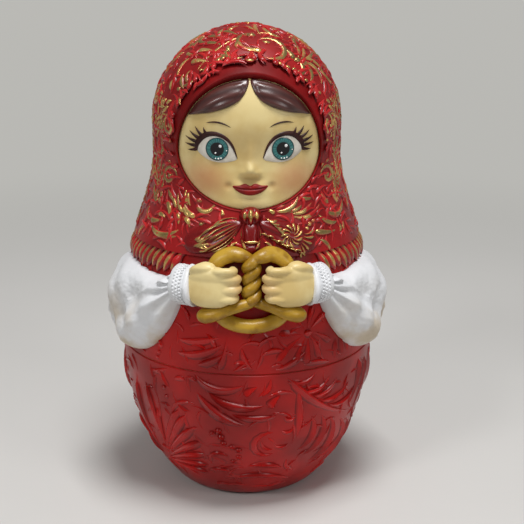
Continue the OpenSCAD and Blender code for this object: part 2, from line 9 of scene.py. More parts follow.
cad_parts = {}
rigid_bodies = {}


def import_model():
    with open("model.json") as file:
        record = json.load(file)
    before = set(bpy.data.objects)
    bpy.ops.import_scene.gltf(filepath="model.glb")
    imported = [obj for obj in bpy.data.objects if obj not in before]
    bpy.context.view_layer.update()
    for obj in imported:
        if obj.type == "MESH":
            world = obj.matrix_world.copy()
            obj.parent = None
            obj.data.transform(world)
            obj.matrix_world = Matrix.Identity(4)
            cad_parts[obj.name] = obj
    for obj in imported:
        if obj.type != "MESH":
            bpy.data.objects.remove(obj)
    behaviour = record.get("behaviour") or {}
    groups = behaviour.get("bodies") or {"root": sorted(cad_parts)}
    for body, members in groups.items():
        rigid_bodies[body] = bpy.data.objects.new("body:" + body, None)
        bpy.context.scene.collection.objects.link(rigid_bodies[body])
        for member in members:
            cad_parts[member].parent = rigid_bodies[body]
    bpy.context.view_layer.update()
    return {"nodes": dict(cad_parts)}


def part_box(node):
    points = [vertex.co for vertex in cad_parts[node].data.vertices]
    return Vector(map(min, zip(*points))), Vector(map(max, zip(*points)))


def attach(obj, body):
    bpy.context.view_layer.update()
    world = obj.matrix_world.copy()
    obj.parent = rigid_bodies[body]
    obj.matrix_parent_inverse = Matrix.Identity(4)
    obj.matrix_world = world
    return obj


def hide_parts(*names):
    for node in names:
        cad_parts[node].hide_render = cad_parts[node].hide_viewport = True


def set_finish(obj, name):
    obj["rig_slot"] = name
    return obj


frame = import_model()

bpy.context.scene.view_settings.view_transform = "Standard"


# Lower half: a bowl turned from wood, hollow for the smaller dolls, with a flat foot and a rebate in its rim.
# Outside it is lacquered red in two coats, inside the wood is bare. Sizes here and below are millimetres.
MM = 0.001
WAIST_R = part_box("lower_shell")[1].x/MM
SEAM_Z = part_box("lower_shell")[1].z/MM
FOOT_R = 40
FOOT_ROUND = 3
UNDERSIDE_Z = 1
SEAM_BREAK = 0.6
WALL = 6
INSIDE = 1.2
FLOOR_T = 8
COLLAR_T = 3
COLLAR_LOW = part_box("waist_collar")[0].z/MM
COLLAR_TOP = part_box("waist_collar")[1].z/MM
RUNNING_FIT = 0.08
SHOULDER_Z = 135
SHOULDER_R = 60.5
HEAD_R = 47
NECK_DROP = 15.5
SCARF_T = 2.5
DOLL_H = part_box("headscarf")[1].z/MM
HEAD_Z = DOLL_H - SCARF_T - HEAD_R
NECK_Z = HEAD_Z - NECK_DROP
BELLY_H = SEAM_Z/math.sqrt(1 - (FOOT_R/WAIST_R)**2)
SLOPE_STEP = 0.25
STEEPEST = 12
RED = (0.42, 0.0065, 0.005)
DEEP_RED = (0.26, 0.0045, 0.0035)
RED_CLOUDS = (38, 0.38, 0.68)
BARE_WOOD = (0.52, 0.36, 0.2)
DARK_WOOD = (0.44, 0.28, 0.14)
# Degrees between two faces from which the edge between them is shaded sharp
CRISP = 35
SOFT = 60
ROUNDED = 80


def body_r(z):
    """Radius of the turned body at a height: belly, breast, shoulder, neck and the dome of the head."""
    z = np.asarray(z, float)
    belly = WAIST_R*np.sqrt(np.clip(1 - ((SEAM_Z - z)/BELLY_H)**2, 0, 1))
    breast = WAIST_R - (WAIST_R - SHOULDER_R)*((z - SEAM_Z)/(SHOULDER_Z - SEAM_Z))**2
    t = (z - SHOULDER_Z)/(NECK_Z - SHOULDER_Z)
    lean = -2*(WAIST_R - SHOULDER_R)/(SHOULDER_Z - SEAM_Z)*(NECK_Z - SHOULDER_Z)
    shoulder = SHOULDER_R*(1 - 3*t**2 + 2*t**3) + lean*(t - 2*t**2 + t**3) + HEAD_R*(3*t**2 - 2*t**3)
    dome = np.sqrt(np.clip(HEAD_R**2 - np.maximum(z - HEAD_Z, 0)**2, 0, None))
    return np.select([z <= SEAM_Z, z <= SHOULDER_Z, z <= NECK_Z], [belly, breast, shoulder], dome)


def slope(z):
    """How fast the radius changes with height, eased at the crown."""
    z = np.asarray(z, float)
    change = body_r(z + SLOPE_STEP) - body_r(z - SLOPE_STEP)
    return np.clip(change/(2*SLOPE_STEP), -STEEPEST, STEEPEST)


def on_body(angle, z, lift):
    """Point at an angle from the front, a height, and a lift square to the body's surface."""
    tilt = slope(z)
    across = 1/np.sqrt(1 + tilt**2)
    r = body_r(z) + lift*across
    angle = np.radians(angle)
    return np.stack([r*np.sin(angle), -r*np.cos(angle), z - lift*tilt*across], -1)


def outline_points(low, high, count, lift=0.0):
    """Radius and height of points along the body's side, lifted off it or sunk under it."""
    heights = np.linspace(low, high, count)
    points = on_body(90, heights, lift)
    return [(p[0], p[2]) for p in points]


def dome_points(lift, count=24):
    """Radius and height of points over the dome of the head, up to the crown."""
    steps = [math.pi/2*(i + 1)/count for i in range(count)]
    return [((HEAD_R + lift)*math.cos(a), HEAD_Z + (HEAD_R + lift)*math.sin(a)) for a in steps]


def depth_inside(r, z):
    """How deep a point lies under the outer face of the body and of the head's dome."""
    return float(body_r(min(max(z, 0), HEAD_Z))) - math.hypot(r, max(0, z - HEAD_Z))


def closed_loop(shape, points):
    """Corners and edges of a closed line through points."""
    corners = [shape.verts.new(p) for p in points]
    edges = [shape.edges.new(pair) for pair in zip(corners, corners[1:] + corners[:1])]
    return corners, edges


def turned(outline, steps=128):
    """Closed outline of radius and height, turned round the doll's axis."""
    shape = bmesh.new()
    corners, edges = closed_loop(shape, [(max(r, 0), 0, z) for r, z in outline])
    bmesh.ops.spin(shape, geom=corners + edges, axis=(0, 0, 1), cent=(0, 0, 0), steps=steps,
                   angle=2*math.pi, use_merge=True)
    close_up(shape)
    return shape


def close_up(shape):
    """Merges doubles, drops the faces that this leaves without area, and turns the rest outwards."""
    bmesh.ops.remove_doubles(shape, verts=shape.verts, dist=0.002)
    bmesh.ops.dissolve_degenerate(shape, edges=shape.edges, dist=0.001)
    bmesh.ops.recalc_face_normals(shape, faces=shape.faces)


def as_object(shape, name):
    """Object of a shape, which is used up."""
    mesh = bpy.data.meshes.new(name)
    shape.to_mesh(mesh)
    shape.free()
    obj = bpy.data.objects.new(name, mesh)
    bpy.context.scene.collection.objects.link(obj)
    return obj


def new_piece(shape, name, body, finish, slot, replaces=(), sharp=CRISP):
    """Makes an object of a shape in millimetres, which rides on a body and stands for CAD nodes."""
    bmesh.ops.scale(shape, vec=(MM, MM, MM), verts=shape.verts)
    obj = as_object(shape, name)
    obj.data.shade_smooth()
    obj.data.set_sharp_from_angle(angle=math.radians(sharp))
    for material in finish if isinstance(finish, list) else [finish]:
        obj.data.materials.append(material)
    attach(obj, body)
    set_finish(obj, slot)
    if replaces:
        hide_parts(*replaces)


def new_finish(name, **shader_values):
    """Material with its principled shader's constant sockets set."""
    finish = bpy.data.materials.new(name)
    finish.use_nodes = True
    shader = finish.node_tree.nodes["Principled BSDF"]
    for socket, value in shader_values.items():
        shader.inputs[socket.replace("_", " ")].default_value = value
    return finish


def add(finish, kind, inputs=(), **settings):
    """Adds a shader node; an input is a value or another node's output."""
    node = finish.node_tree.nodes.new("ShaderNode" + kind)
    for name, value in settings.items():
        setattr(node, name, value)
    for key, value in dict(inputs).items():
        if isinstance(value, bpy.types.NodeSocket):
            finish.node_tree.links.new(value, node.inputs[key])
        else:
            node.inputs[key].default_value = value
    return node


def feed(finish, socket, output):
    shader = finish.node_tree.nodes["Principled BSDF"]
    finish.node_tree.links.new(output, shader.inputs[socket])


def own_place(finish):
    """The piece's own coordinates."""
    return add(finish, "TexCoord").outputs["Object"]


def grain(finish, scale, detail=4.0, stretch=(1, 1, 1)):
    """Noise on the piece's own coordinates, from 0 to 1."""
    place = own_place(finish)
    if stretch != (1, 1, 1):
        place = add(finish, "Mapping", {"Vector": place, "Scale": stretch}).outputs[0]
    return add(finish, "TexNoise", {"Vector": place, "Scale": scale, "Detail": detail}).outputs["Fac"]


def between(finish, share, low, high):
    """Maps a share from 0 to 1 onto a range."""
    return add(finish, "MapRange", {"Value": share, "To Min": low, "To Max": high}).outputs["Result"]


def stepped(finish, share, low, high):
    """Soft step of a share between two levels."""
    node = add(finish, "MapRange", {"Value": share, "From Min": low, "From Max": high},
               interpolation_type="SMOOTHSTEP")
    return node.outputs["Result"]


def clouds(finish, scale, low, high, detail=4.0):
    """Soft-edged blotches, 0 between them and 1 in their middles."""
    return stepped(finish, grain(finish, scale, detail), low, high)


def tint(finish, share, first, second):
    """Colour between two, each a colour or another node's output."""
    ends = [c if isinstance(c, bpy.types.NodeSocket) else (*c, 1) for c in (first, second)]
    return add(finish, "Mix", {0: share, 6: ends[0], 7: ends[1]}, data_type="RGBA").outputs[2]


def times(finish, first, second):
    return add(finish, "Math", {0: first, 1: second}, operation="MULTIPLY").outputs[0]


def rough_up(finish, height, strength, depth):
    """Bump of the surface from a height; depth is in millimetres."""
    bump = add(finish, "Bump", {"Height": height, "Strength": strength, "Distance": depth*MM})
    feed(finish, "Normal", bump.outputs[0])


def coat(finish, colour, gloss, gloss_scale, bump, strength, depth):
    """Gives a finish its colour, a roughness that varies within the gloss range, and a bump."""
    feed(finish, "Base Color", colour)
    feed(finish, "Roughness", between(finish, grain(finish, gloss_scale), *gloss))
    rough_up(finish, bump, strength, depth)
    return finish


def lacquer(name, colour, deep, gloss=(0.26, 0.42), shine=0.28):
    """Brushed-on paint: cloudy colour, uneven gloss and faint brush marks."""
    finish = new_finish(name, Specular_IOR_Level=shine)
    cloudy = tint(finish, clouds(finish, *RED_CLOUDS), deep, colour)
    return coat(finish, cloudy, gloss, 140, grain(finish, 420, 6, (1, 1, 0.5)), 0.22, 0.25)


def bare_wood():
    """Turned wood without paint: wavy bands of year rings and fine pores."""
    finish = new_finish("bare_turned_wood")
    bands = add(finish, "TexWave", {"Vector": own_place(finish), "Scale": 55, "Distortion": 3, "Detail": 3},
                wave_type="BANDS", bands_direction="X").outputs["Fac"]
    pores = grain(finish, 700, 4, (1, 1, 0.15))
    return coat(finish, tint(finish, bands, DARK_WOOD, BARE_WOOD), (0.5, 0.7), 200, pores, 0.25, 0.2)


red_lacquer = lacquer("red_lacquer", RED, DEEP_RED)
wood = bare_wood()


def foot_points():
    """Rounded edge of the flat foot."""
    top = float(body_r(FOOT_ROUND))
    shares = [i/6 for i in range(7)]
    return [(FOOT_R - FOOT_ROUND*(1 - t)**2 + (top - FOOT_R)*t**2, FOOT_ROUND*t**2) for t in shares]


def paint_inside(shape, inside):
    """Gives the faces whose middles are inside the hollow the second finish."""
    for face in shape.faces:
        middle = face.calc_center_median()
        if inside(math.hypot(middle.x, middle.y), middle.z):
            face.material_index = 1


REBATE_R = WAIST_R - WALL + COLLAR_T + RUNNING_FIT
bowl = turned([(0, 0)] + foot_points() + outline_points(FOOT_ROUND + 1.5, SEAM_Z - SEAM_BREAK, 36)
              + [(WAIST_R - SEAM_BREAK, SEAM_Z), (REBATE_R, SEAM_Z), (REBATE_R, COLLAR_LOW)]
              + outline_points(COLLAR_LOW, FLOOR_T, 24, -WALL) + [(0, FLOOR_T)])
paint_inside(bowl, lambda r, z: z > UNDERSIDE_Z and depth_inside(r, z) > INSIDE)
new_piece(bowl, "bowl", "lower_half", [red_lacquer, wood], "red_shell", ["lower_shell"])


# Leaf ornament of the bowl: strokes of modelling paste raised on the wall, each a blade with one steep side.
# They are lacquered with the bowl, with painted shade of dark red beside each stroke and a painted highlight
# of brighter red on its crest.
LEAF, COMMA, TAIL = "leaf", "comma", "tail"
BLADE = [(-1, 0), (-0.8, 0.68), (-0.45, 1), (0.25, 0.5), (1.3, 0)]
HALF_ROUND = [(-1, 0), (-0.66, 0.74), (0, 1), (0.66, 0.74), (1, 0)]
THINNEST = 0.06
RIDGE_H = 0.85
EDGE_ROOM = 1.6
FEWEST_POINTS = 4
CUT_TAPER = 0.4
CROWN_Z = 214
CROWN_R = 8
SUNK = 0.15


def swell(form, t):
    """Share of a stroke's full width at a share of its length."""
    if form == LEAF:
        return math.sin(math.pi*t)**0.75
    t = 1 - t if form == TAIL else t
    head = 0.76
    return (t/head)**0.85 if t < head else math.sqrt(max(0, 1 - ((t - head)/(1 - head))**2))


def stroke(start, heading, length, bend, half, form=LEAF, steps=9):
    """Brush stroke as points of across, up and half width, which turns by bend on its way."""
    u, v = start
    path = []
    for i in range(steps):
        t = i/(steps - 1)
        path.append((u, v, max(half*swell(form, t), THINNEST)))
        turn = math.radians(heading + bend*(t + 0.5/(steps - 1)))
        u += length/(steps - 1)*math.cos(turn)
        v += length/(steps - 1)*math.sin(turn)
    return path


def bead(middle, radius):
    """Small round berry, drawn as a stroke as long as it is wide."""
    steps = [-1, -0.86, -0.5, 0, 0.5, 0.86, 1]
    return [(middle[0] + radius*t, middle[1], max(radius*math.sqrt(1 - t*t), THINNEST)) for t in steps]


def arranged(strokes, turn, flip=False):
    """A sprig turned, and perhaps mirrored, on the sheet."""
    c, s = math.cos(math.radians(turn)), math.sin(math.radians(turn))
    side = -1 if flip else 1
    return [[(side*u*c - v*s, side*u*s + v*c, half) for u, v, half in path] for path in strokes]


arc_heights = np.linspace(0, HEAD_Z + HEAD_R, 3000)
arc_steps = np.hypot(np.diff(arc_heights), np.diff(body_r(arc_heights)))
arc_lengths = np.concatenate([[0], np.cumsum(arc_steps)])


def arc_at(z):
    """Length along the body's side from the foot to a height."""
    return np.interp(z, arc_heights, arc_lengths)


def height_at(arc):
    return np.interp(arc, arc_lengths, arc_heights)


def wrapped(flat, angle, z, lift):
    """Lays points of across, up and rise on the body round an angle and a height.
    Over the crown they lie as on a ball."""
    u, v, rise = flat.T
    crown = z > CROWN_Z
    height = height_at(arc_at(z) + np.where(crown, 0, v))
    side = on_body(angle + np.degrees(u/np.maximum(body_r(height), CROWN_R)), height, lift + rise)
    a = np.radians(angle)
    out = np.stack([body_r(z)*np.sin(a), -body_r(z)*np.cos(a), z - HEAD_Z], -1)
    out /= np.linalg.norm(out, axis=1)[:, None]
    around = np.stack([np.cos(a), np.sin(a), np.zeros_like(a)], -1)
    up = np.cross(out, around)
    far = np.maximum(np.hypot(u, v), 1e-6)
    swing = (far/HEAD_R)[:, None]
    aim = out*np.cos(swing) + (around*(u/far)[:, None] + up*(v/far)[:, None])*np.sin(swing)
    over = aim*(HEAD_R + lift + rise)[:, None] + np.array([0, 0, HEAD_Z])
    return np.where(crown[:, None], over, side)


def embossed(layout, section, height, lift, gilding=None):
    """Shape of all strokes of a layout of strokes, angle and height on the doll, each a closed ridge.
    The lift is a length or gives one for points on the bare body; gilding says where a section takes gold."""
    scene_objects = bpy.context.scene.collection.objects
    profile = bpy.data.curves.new("profile", "CURVE")
    edge = profile.splines.new("POLY")
    edge.points.add(len(section) - 1)
    edge.use_cyclic_u = True
    for point, (across, up) in zip(edge.points, section):
        point.co = (across, up*height, 0, 1)
    profile_object = bpy.data.objects.new("profile", profile)
    scene_objects.link(profile_object)
    drawing = bpy.data.curves.new("drawing", "CURVE")
    drawing.dimensions = "2D"
    drawing.bevel_mode = "OBJECT"
    drawing.bevel_object = profile_object
    angles, heights = [], []
    for strokes, angle, z in layout:
        for path in strokes:
            line = drawing.splines.new("POLY")
            line.points.add(len(path) - 1)
            for point, (u, v, half) in zip(line.points, path):
                point.co = (u, v, 0, 1)
                point.radius = half
            angles += [angle]*len(path)*len(section)
            heights += [z]*len(path)*len(section)
    drawing_object = bpy.data.objects.new("drawing", drawing)
    scene_objects.link(drawing_object)
    evaluated = drawing_object.evaluated_get(bpy.context.evaluated_depsgraph_get())
    mesh = bpy.data.meshes.new_from_object(evaluated)
    bpy.data.objects.remove(drawing_object)
    bpy.data.objects.remove(profile_object)
    flat = np.empty(3*len(mesh.vertices))
    mesh.vertices.foreach_get("co", flat)
    flat = flat.reshape(-1, 3)
    angles, heights = np.array(angles, float), np.array(heights, float)
    level = lift(wrapped(flat*(1, 1, 0), angles, heights, 0)) if callable(lift) else lift
    placed = wrapped(flat, angles, heights, level - SUNK)
    mesh.vertices.foreach_set("co", placed.ravel())
    rise = mesh.attributes.new("rise", "FLOAT", "POINT")
    gilding = gilding or [up for across, up in section]
    rise.data.foreach_set("value", np.tile(gilding, len(flat)//len(section)).astype(np.float32))
    shape = bmesh.new()
    shape.from_mesh(mesh)
    bpy.data.meshes.remove(mesh)
    bmesh.ops.holes_fill(shape, edges=[e for e in shape.edges if e.is_boundary], sides=len(section))
    return shape


def filling(low, high, spacing, length, half, seed):
    """Small strokes that fill a zone between two heights, in rows, bent along a wavy flow."""
    chance = np.random.default_rng(seed)
    layout = []
    for arc in np.arange(arc_at(low), arc_at(high), spacing):
        z = float(height_at(arc))
        count = max(3, int(2*math.pi*float(body_r(z))/spacing))
        for i in range(count):
            angle = 360*(i + chance.uniform(-0.35, 0.35))/count
            flow = 90 + 70*math.sin(math.radians(4*angle) + z/16) + chance.uniform(-25, 25)
            size = chance.uniform(0.7, 1.2)
            bend = chance.choice((-1, 1))*chance.uniform(40, 110)
            form = (LEAF, COMMA, TAIL)[chance.integers(3)]
            layout.append(([stroke((0, 0), flow, length*size, bend, half*size, form, 7)], angle, z))
    return layout


def cut_to(path, keep):
    """The longest stretch of a stroke whose points are kept, with tapered ends, or nothing."""
    run, best = [], []
    for place, kept in zip(path, keep):
        run = run + [place] if kept else []
        best = run if len(run) > len(best) else best
    if len(best) < FEWEST_POINTS:
        return None
    (u0, v0, half0), (u1, v1, half1) = best[0], best[-1]
    return [(u0, v0, half0*CUT_TAPER), *best[1:-1], (u1, v1, half1*CUT_TAPER)]


def within(layout, low, high):
    """Cuts the strokes of a layout to the zone between two heights."""
    found = []
    for strokes, angle, z in layout:
        cut = []
        for path in strokes:
            rooms = [(height_at(arc_at(z) + v), EDGE_ROOM*half) for u, v, half in path]
            cut.append(cut_to(path, [low + room < h < high - room for h, room in rooms]))
        found.append(([path for path in cut if path], angle, z))
    return found


def drawn(table, steps=9, turn=0):
    """Layout of single strokes. Each row: angle and height of the start, heading, length, bend, half width,
    and the form where it isn't a leaf."""
    return [([stroke((0, 0), *brush, steps=steps)], angle + turn, z) for angle, z, *brush in table]


def berries(table, turn=0):
    """Layout of berries from rows of angle, height and radius."""
    return [([bead((0, 0), radius)], angle + turn, z) for angle, z, radius in table]


def kept_value(finish, name):
    """Value that a shape keeps at its corners."""
    return add(finish, "Attribute", attribute_name=name).outputs["Fac"]


def ridge_lacquer_painted_light(name, colour, deep):
    """Lacquer with painted shade dark beside a ridge and a painted highlight, brighter and glossier, on its
    crest.
    """
    finish = lacquer(name, colour, deep)
    rise = kept_value(finish, "rise")
    # Painted highlight of brighter red on the crest, painted shade of dark red at the foot of the stroke
    crest = tint(finish, clouds(finish, *RED_CLOUDS), deep, [c*1.15 for c in colour])
    hollow = [c*0.45 for c in deep]
    feed(finish, "Base Color", tint(finish, stepped(finish, rise, 0.02, 0.5), hollow, crest))
    feed(finish, "Roughness", between(finish, rise, 0.36, 0.17))
    return finish


BOWL_STROKES = [
    (-25, 81, -55, 30, 92, 2.6), (-19, 72, -45, 32, 63, 2.6), (-9, 60, -24, 25, 42, 2.2),
    (-24, 71, -61, 32, 51, 3.2), (3, 76, -156, 9, 15, 2.4, COMMA), (13, 71, -147, 10, 31, 2.6, COMMA),
    (8, 80, -81, 12, -80, 1.6), (15, 80, -53, 62, 39, 2.6, TAIL), (20, 72, -42, 24, 107, 2.0),
    (24, 69, -40, 25, 105, 2.0), (30, 64, -29, 27, 76, 2.0), (36, 60, -39, 28, 92, 2.0),
    (15, 78, -46, 20, 108, 1.8), (20, 74, -78, 33, -17, 2.4), (11, 48, 159, 32, 231, 2.0),
    (5, 44, -104, 12, 114, 1.2), (15, 58, -94, 9, 160, 1.4), (14, 49, -65, 9, 141, 1.4),
    (11, 40, -62, 10, 125, 1.4), (28, 55, -51, 26, -102, 2.2), (34, 54, -53, 31, -101, 2.4),
    (40, 51, -46, 37, -111, 2.4), (49, 46, -35, 40, -120, 2.4), (-2, 25, 26, 21, -73, 2.2),
    (-13, 14, 38, 38, -90, 2.2), (-24, 19, 48, 15, -81, 1.8), (19, 29, -97, 15, 75, 1.6),
    (-53, 21, 66, 46, -12, 2.6, COMMA), (-53, 21, 57, 46, -5, 2.6, COMMA),
    (-54, 20, 49, 44, -8, 2.6, COMMA), (-54, 19, 41, 41, -12, 2.6, COMMA),
    (-55, 18, 33, 37, -16, 2.4, COMMA), (-55, 17, 24, 33, -20, 2.4, COMMA),
    (-54, 16, 14, 28, -18, 2.2, COMMA), (-54, 68, -76, 46, -14, 2.4, TAIL),
    (-48, 55, -91, 33, -8, 2.2, TAIL), (-63, 66, -95, 46, 24, 2.4, TAIL), (-35, 75, 46, 8, -79, 1.6),
    (-29, 78, 14, 7, -62, 1.4), (-50, 77, -9, 15, 48, 1.6), (-38, 53, 87, 22, -109, 1.6),
    (-19, 25, 141, 20, -206, 1.6), (58, 78, -80, 30, -40, 2.4, TAIL), (66, 76, -85, 34, -34, 2.2, TAIL),
    (62, 40, -110, 28, -50, 2.4), (74, 78, -78, 40, 26, 2.6), (76, 36, -60, 22, 70, 2.0),
    (70, 20, 20, 22, 60, 2.0), (-80, 78, -100, 40, -26, 2.4), (-72, 30, -70, 18, 60, 2.0),
    (-86, 34, 20, 24, -80, 2.0)]
BOWL_BERRIES = [
    (-18, 47, 1.9), (-15, 49, 2.1), (-14, 45, 2.2), (-13, 41, 1.9), (-9, 39, 2.0), (-6, 37, 1.9),
    (-6, 32, 1.7), (-9, 29, 1.5), (-43, 77, 1.6), (-41, 69, 1.5), (-40, 64, 1.4), (-41, 59, 1.2)]
bowl_layout = []
for back in (0, 180):
    bowl_layout += drawn(BOWL_STROKES, 10, back) + berries(BOWL_BERRIES, back)
bowl_layout += filling(low=8, high=77, spacing=11, length=15, half=1.2, seed=3)
ridge_lacquer = ridge_lacquer_painted_light("red_ridge_lacquer_painted_light", RED, DEEP_RED)
leaves = embossed(within(bowl_layout, 2, SEAM_Z - SEAM_BREAK), BLADE, RIDGE_H, 0)
new_piece(leaves, "bowl_leaf_relief", "lower_half", ridge_lacquer, "red_shell")


# Loose collar: a plain wooden ring that locates the two halves on each other.
# It is turned to a running fit in both rebates and left without paint.
collar = frame["nodes"]["waist_collar"]
collar.data.materials.clear()
collar.data.materials.append(wood)


# Upper half: breast, shoulders and head turned hollow in one piece, lacquered as the bowl is.
# It stands on the collar, and only the dress between the seam and the scarf stays in sight.
LEDGE_GAP = 0.4
LEDGE_Z = COLLAR_TOP + LEDGE_GAP
HEM_Z = 140
SEAM_GAP = 0.12
DRESS_LOW = SEAM_Z + SEAM_GAP
dress = turned([(REBATE_R, DRESS_LOW), (WAIST_R - SEAM_BREAK, DRESS_LOW)]
               + outline_points(DRESS_LOW + SEAM_BREAK, HEAD_Z, 56) + dome_points(0)
               + dome_points(-WALL)[::-1] + outline_points(HEAD_Z, LEDGE_Z, 44, -WALL)
               + [(REBATE_R, LEDGE_Z)])
paint_inside(dress, lambda r, z: z > DRESS_LOW + SEAM_GAP and depth_inside(r, z) > INSIDE)
new_piece(dress, "dress", "upper_half", [red_lacquer, wood], "red_shell", ["upper_shell"])

DRESS_STROKES = [
    (-33, 98, -8, 24, 34, 2.2), (-34, 91, -10, 28, 50, 2.4), (-32, 85, -4, 30, 48, 2.2),
    (-46, 101, -75, 12, 40, 1.8), (-14, 84, 62, 18, 30, 2.0, TAIL), (-4, 97, -95, 14, 60, 1.8),
    (-8, 84, 20, 12, 40, 1.4), (10, 84, 12, 20, 30, 1.8), (22, 85, 10, 18, -30, 1.6),
    (24, 103, 118, 14, 20, 2.0, COMMA), (25, 103, 80, 13, -16, 2.0, COMMA),
    (26, 103, 44, 13, -20, 2.0, COMMA), (23, 101, 160, 14, 24, 1.8, COMMA),
    (23, 101, 205, 20, 30, 2.0, COMMA), (24, 100, 235, 19, 26, 2.2, COMMA),
    (25, 100, 268, 15, -10, 2.4, COMMA), (26, 101, 300, 15, -20, 2.0, COMMA),
    (27, 102, 335, 14, -16, 1.8, COMMA), (40, 96, 250, 12, 30, 1.6), (43, 98, 262, 14, 26, 1.6),
    (46, 100, 268, 15, 20, 1.6), (4, 92, 40, 14, -70, 1.6), (0, 88, 150, 10, 60, 1.5),
    (-20, 103, -30, 12, -60, 1.5)]
DRESS_BERRIES = [
    (-43, 96, 1.5), (-42, 92, 1.6), (-43, 88, 1.4), (-40, 99, 1.4), (-44, 85, 1.2), (25, 101.5, 2.2)]


def frond(length, bend, pairs, reach, half):
    """Feather leaf: a thin curved spine with commas on both sides, longest in the middle."""
    spine = stroke((0, 0), 0, length, bend, half*0.55, TAIL, 10)
    strokes = [spine]
    for i in range(pairs):
        t = (i + 0.7)/(pairs + 0.4)
        at = spine[min(int(t*9), 9)]
        heading = bend*t
        size = reach*(0.5 + 0.5*math.sin(math.pi*(0.2 + 0.65*t)))
        for side in (1, -1):
            strokes.append(stroke(at[:2], heading + side*(64 - 22*t), size, -side*46, half, COMMA, 7))
    strokes.append(stroke(spine[-1][:2], bend, reach*0.6, bend*0.2, half, LEAF, 7))
    return strokes


def on_circle(radius, degrees):
    return radius*math.cos(math.radians(degrees)), radius*math.sin(math.radians(degrees))


def scroll(radius, half):
    """Spiral that ends in a berry, with short commas on its outside."""
    count = 15
    path = []
    for i in range(count):
        t = i/(count - 1)
        thick = max(half*(0.25 + 0.75*math.sin(math.pi*t)**0.6), THINNEST)
        path.append((*on_circle(radius*(1 - 0.72*t), 420*t), thick))
    strokes = [path, bead((0, 0), half*1.15)]
    for a in range(40, 217, 44):
        strokes.append(stroke(on_circle(radius*1.06, a), a + 36, radius*0.62, 50, half*0.85, COMMA, 7))
    return strokes


def fan(count, spread, length, half):
    """Commas that spread from one point, shorter towards the sides."""
    middle = (count - 1)/2
    strokes = []
    for i in range(count):
        off = (i - middle)/middle
        strokes.append(stroke((0, 0), 90 + spread*off/2, length*(1 - 0.12*abs(off)), 12*off, half, COMMA, 8))
    return strokes


def flower(petals, size, half):
    """Open flower: petals round a berry."""
    ring = [stroke(on_circle(size*0.3, 360*i/petals), 360*i/petals, size*0.8, 24, half, COMMA, 7)
            for i in range(petals)]
    return ring + [bead((0, 0), size*0.22)]


dress_layout = drawn(DRESS_STROKES) + berries(DRESS_BERRIES)
for angle in range(75, 300, 32):
    dress_layout.append((arranged(frond(26, 40, 5, 9, 1.6), 20 + angle % 5*9, angle % 64 > 31), angle, 96))
    dress_layout.append((arranged(frond(22, -50, 4, 9, 1.6), 150), angle + 12, 118))
dress_layout += filling(low=85, high=127, spacing=10, length=13, half=1.15, seed=5)
dress_relief = embossed(within(dress_layout, SEAM_Z + SEAM_BREAK, HEM_Z), BLADE, RIDGE_H, 0)
new_piece(dress_relief, "dress_leaf_relief", "upper_half", ridge_lacquer, "red_shell")


# Headscarf: a layer of modelling clay over head and shoulders, open for the face, lacquered a warmer red
# whose darker ground is painted shade.
# The opening is cut to the outline of the face with its rolled edge, so the scarf frames the face all round.
SEAT_GAP = 0.15
FACE_W = 2*HEAD_R*0.755
FACE_Z = HEAD_Z - HEAD_R*0.213
FOREHEAD_H = HEAD_R*0.766
CHIN_H = HEAD_R*0.575
ROLL_W = HEAD_R*0.11
ROLL_H = 4.6
SCARF_RED = (0.5, 0.017, 0.019)
SCARF_DEEP = (0.32, 0.008, 0.009)
SCARF_SHADE = (0.19, 0.005, 0.0055)
EDGE_TURNS = [math.radians(3*i) for i in range(120)]
# Painted shade: the ground between the strokes is a deeper red than the strokes
scarf_lacquer_painted_shade = lacquer("scarf_lacquer_painted_shade", SCARF_DEEP, SCARF_SHADE, (0.3, 0.46))


def face_edge(angle, grow=0.0):
    """Point of the face's outline in the front view: an egg with a high forehead."""
    tall = FOREHEAD_H if math.sin(angle) > 0 else CHIN_H
    return (FACE_W/2 + grow)*math.cos(angle), FACE_Z + (tall + grow)*math.sin(angle)


def front_point(x, z, lift):
    """Point on the doll's front at a width and height, lifted off the body."""
    r = float(body_r(z)) + lift
    return Vector((x, -math.sqrt(max(r*r - x*x, 0.01)), z))


def worked_out(obj, *helpers):
    """Shape of an object with its modifiers; the object and its helpers are used up."""
    shape = bmesh.new()
    shape.from_object(obj, bpy.context.evaluated_depsgraph_get())
    for used in (obj, *helpers):
        bpy.data.objects.remove(used)
    return shape


whole_scarf = turned(outline_points(HEM_Z, HEAD_Z, 44, SCARF_T) + dome_points(SCARF_T)
                     + dome_points(SEAT_GAP)[::-1] + outline_points(HEAD_Z, HEM_Z, 44, SEAT_GAP), 160)
whole_scarf = as_object(whole_scarf, "scarf_whole")
opening = bmesh.new()
rim = [face_edge(turn, ROLL_W*0.2) for turn in EDGE_TURNS]
lid = opening.faces.new([opening.verts.new((x, -2*WAIST_R, z)) for x, z in rim])
extruded = bmesh.ops.extrude_face_region(opening, geom=[lid])["geom"]
far_end = [part for part in extruded if isinstance(part, bmesh.types.BMVert)]
bmesh.ops.translate(opening, vec=(0, 2*WAIST_R, 0), verts=far_end)
bmesh.ops.recalc_face_normals(opening, faces=opening.faces)
opening = as_object(opening, "opening")
cut = whole_scarf.modifiers.new("face opening", "BOOLEAN")
cut.operation = "DIFFERENCE"
cut.object = opening
cut.solver = "EXACT"
scarf = worked_out(whole_scarf, opening)
new_piece(scarf, "headscarf_layer", "upper_half", scarf_lacquer_painted_shade, "red_clay", ["headscarf"])


# Rolled edge of the scarf: its opening is turned over to a lip that slopes in towards hair and cheeks.
# It is of one piece with the scarf, widest over the forehead, and has a duller lacquer without gold whose
# darker red is painted shade.
LIP = [(0, 0), (0, 0.36), (0.08, 0.5), (0.3, 0.76), (0.5, 0.92), (0.7, 1), (0.9, 0.98), (1.3, 0.86),
       (1.8, 0.7), (2.3, 0.54), (2.3, 0)]
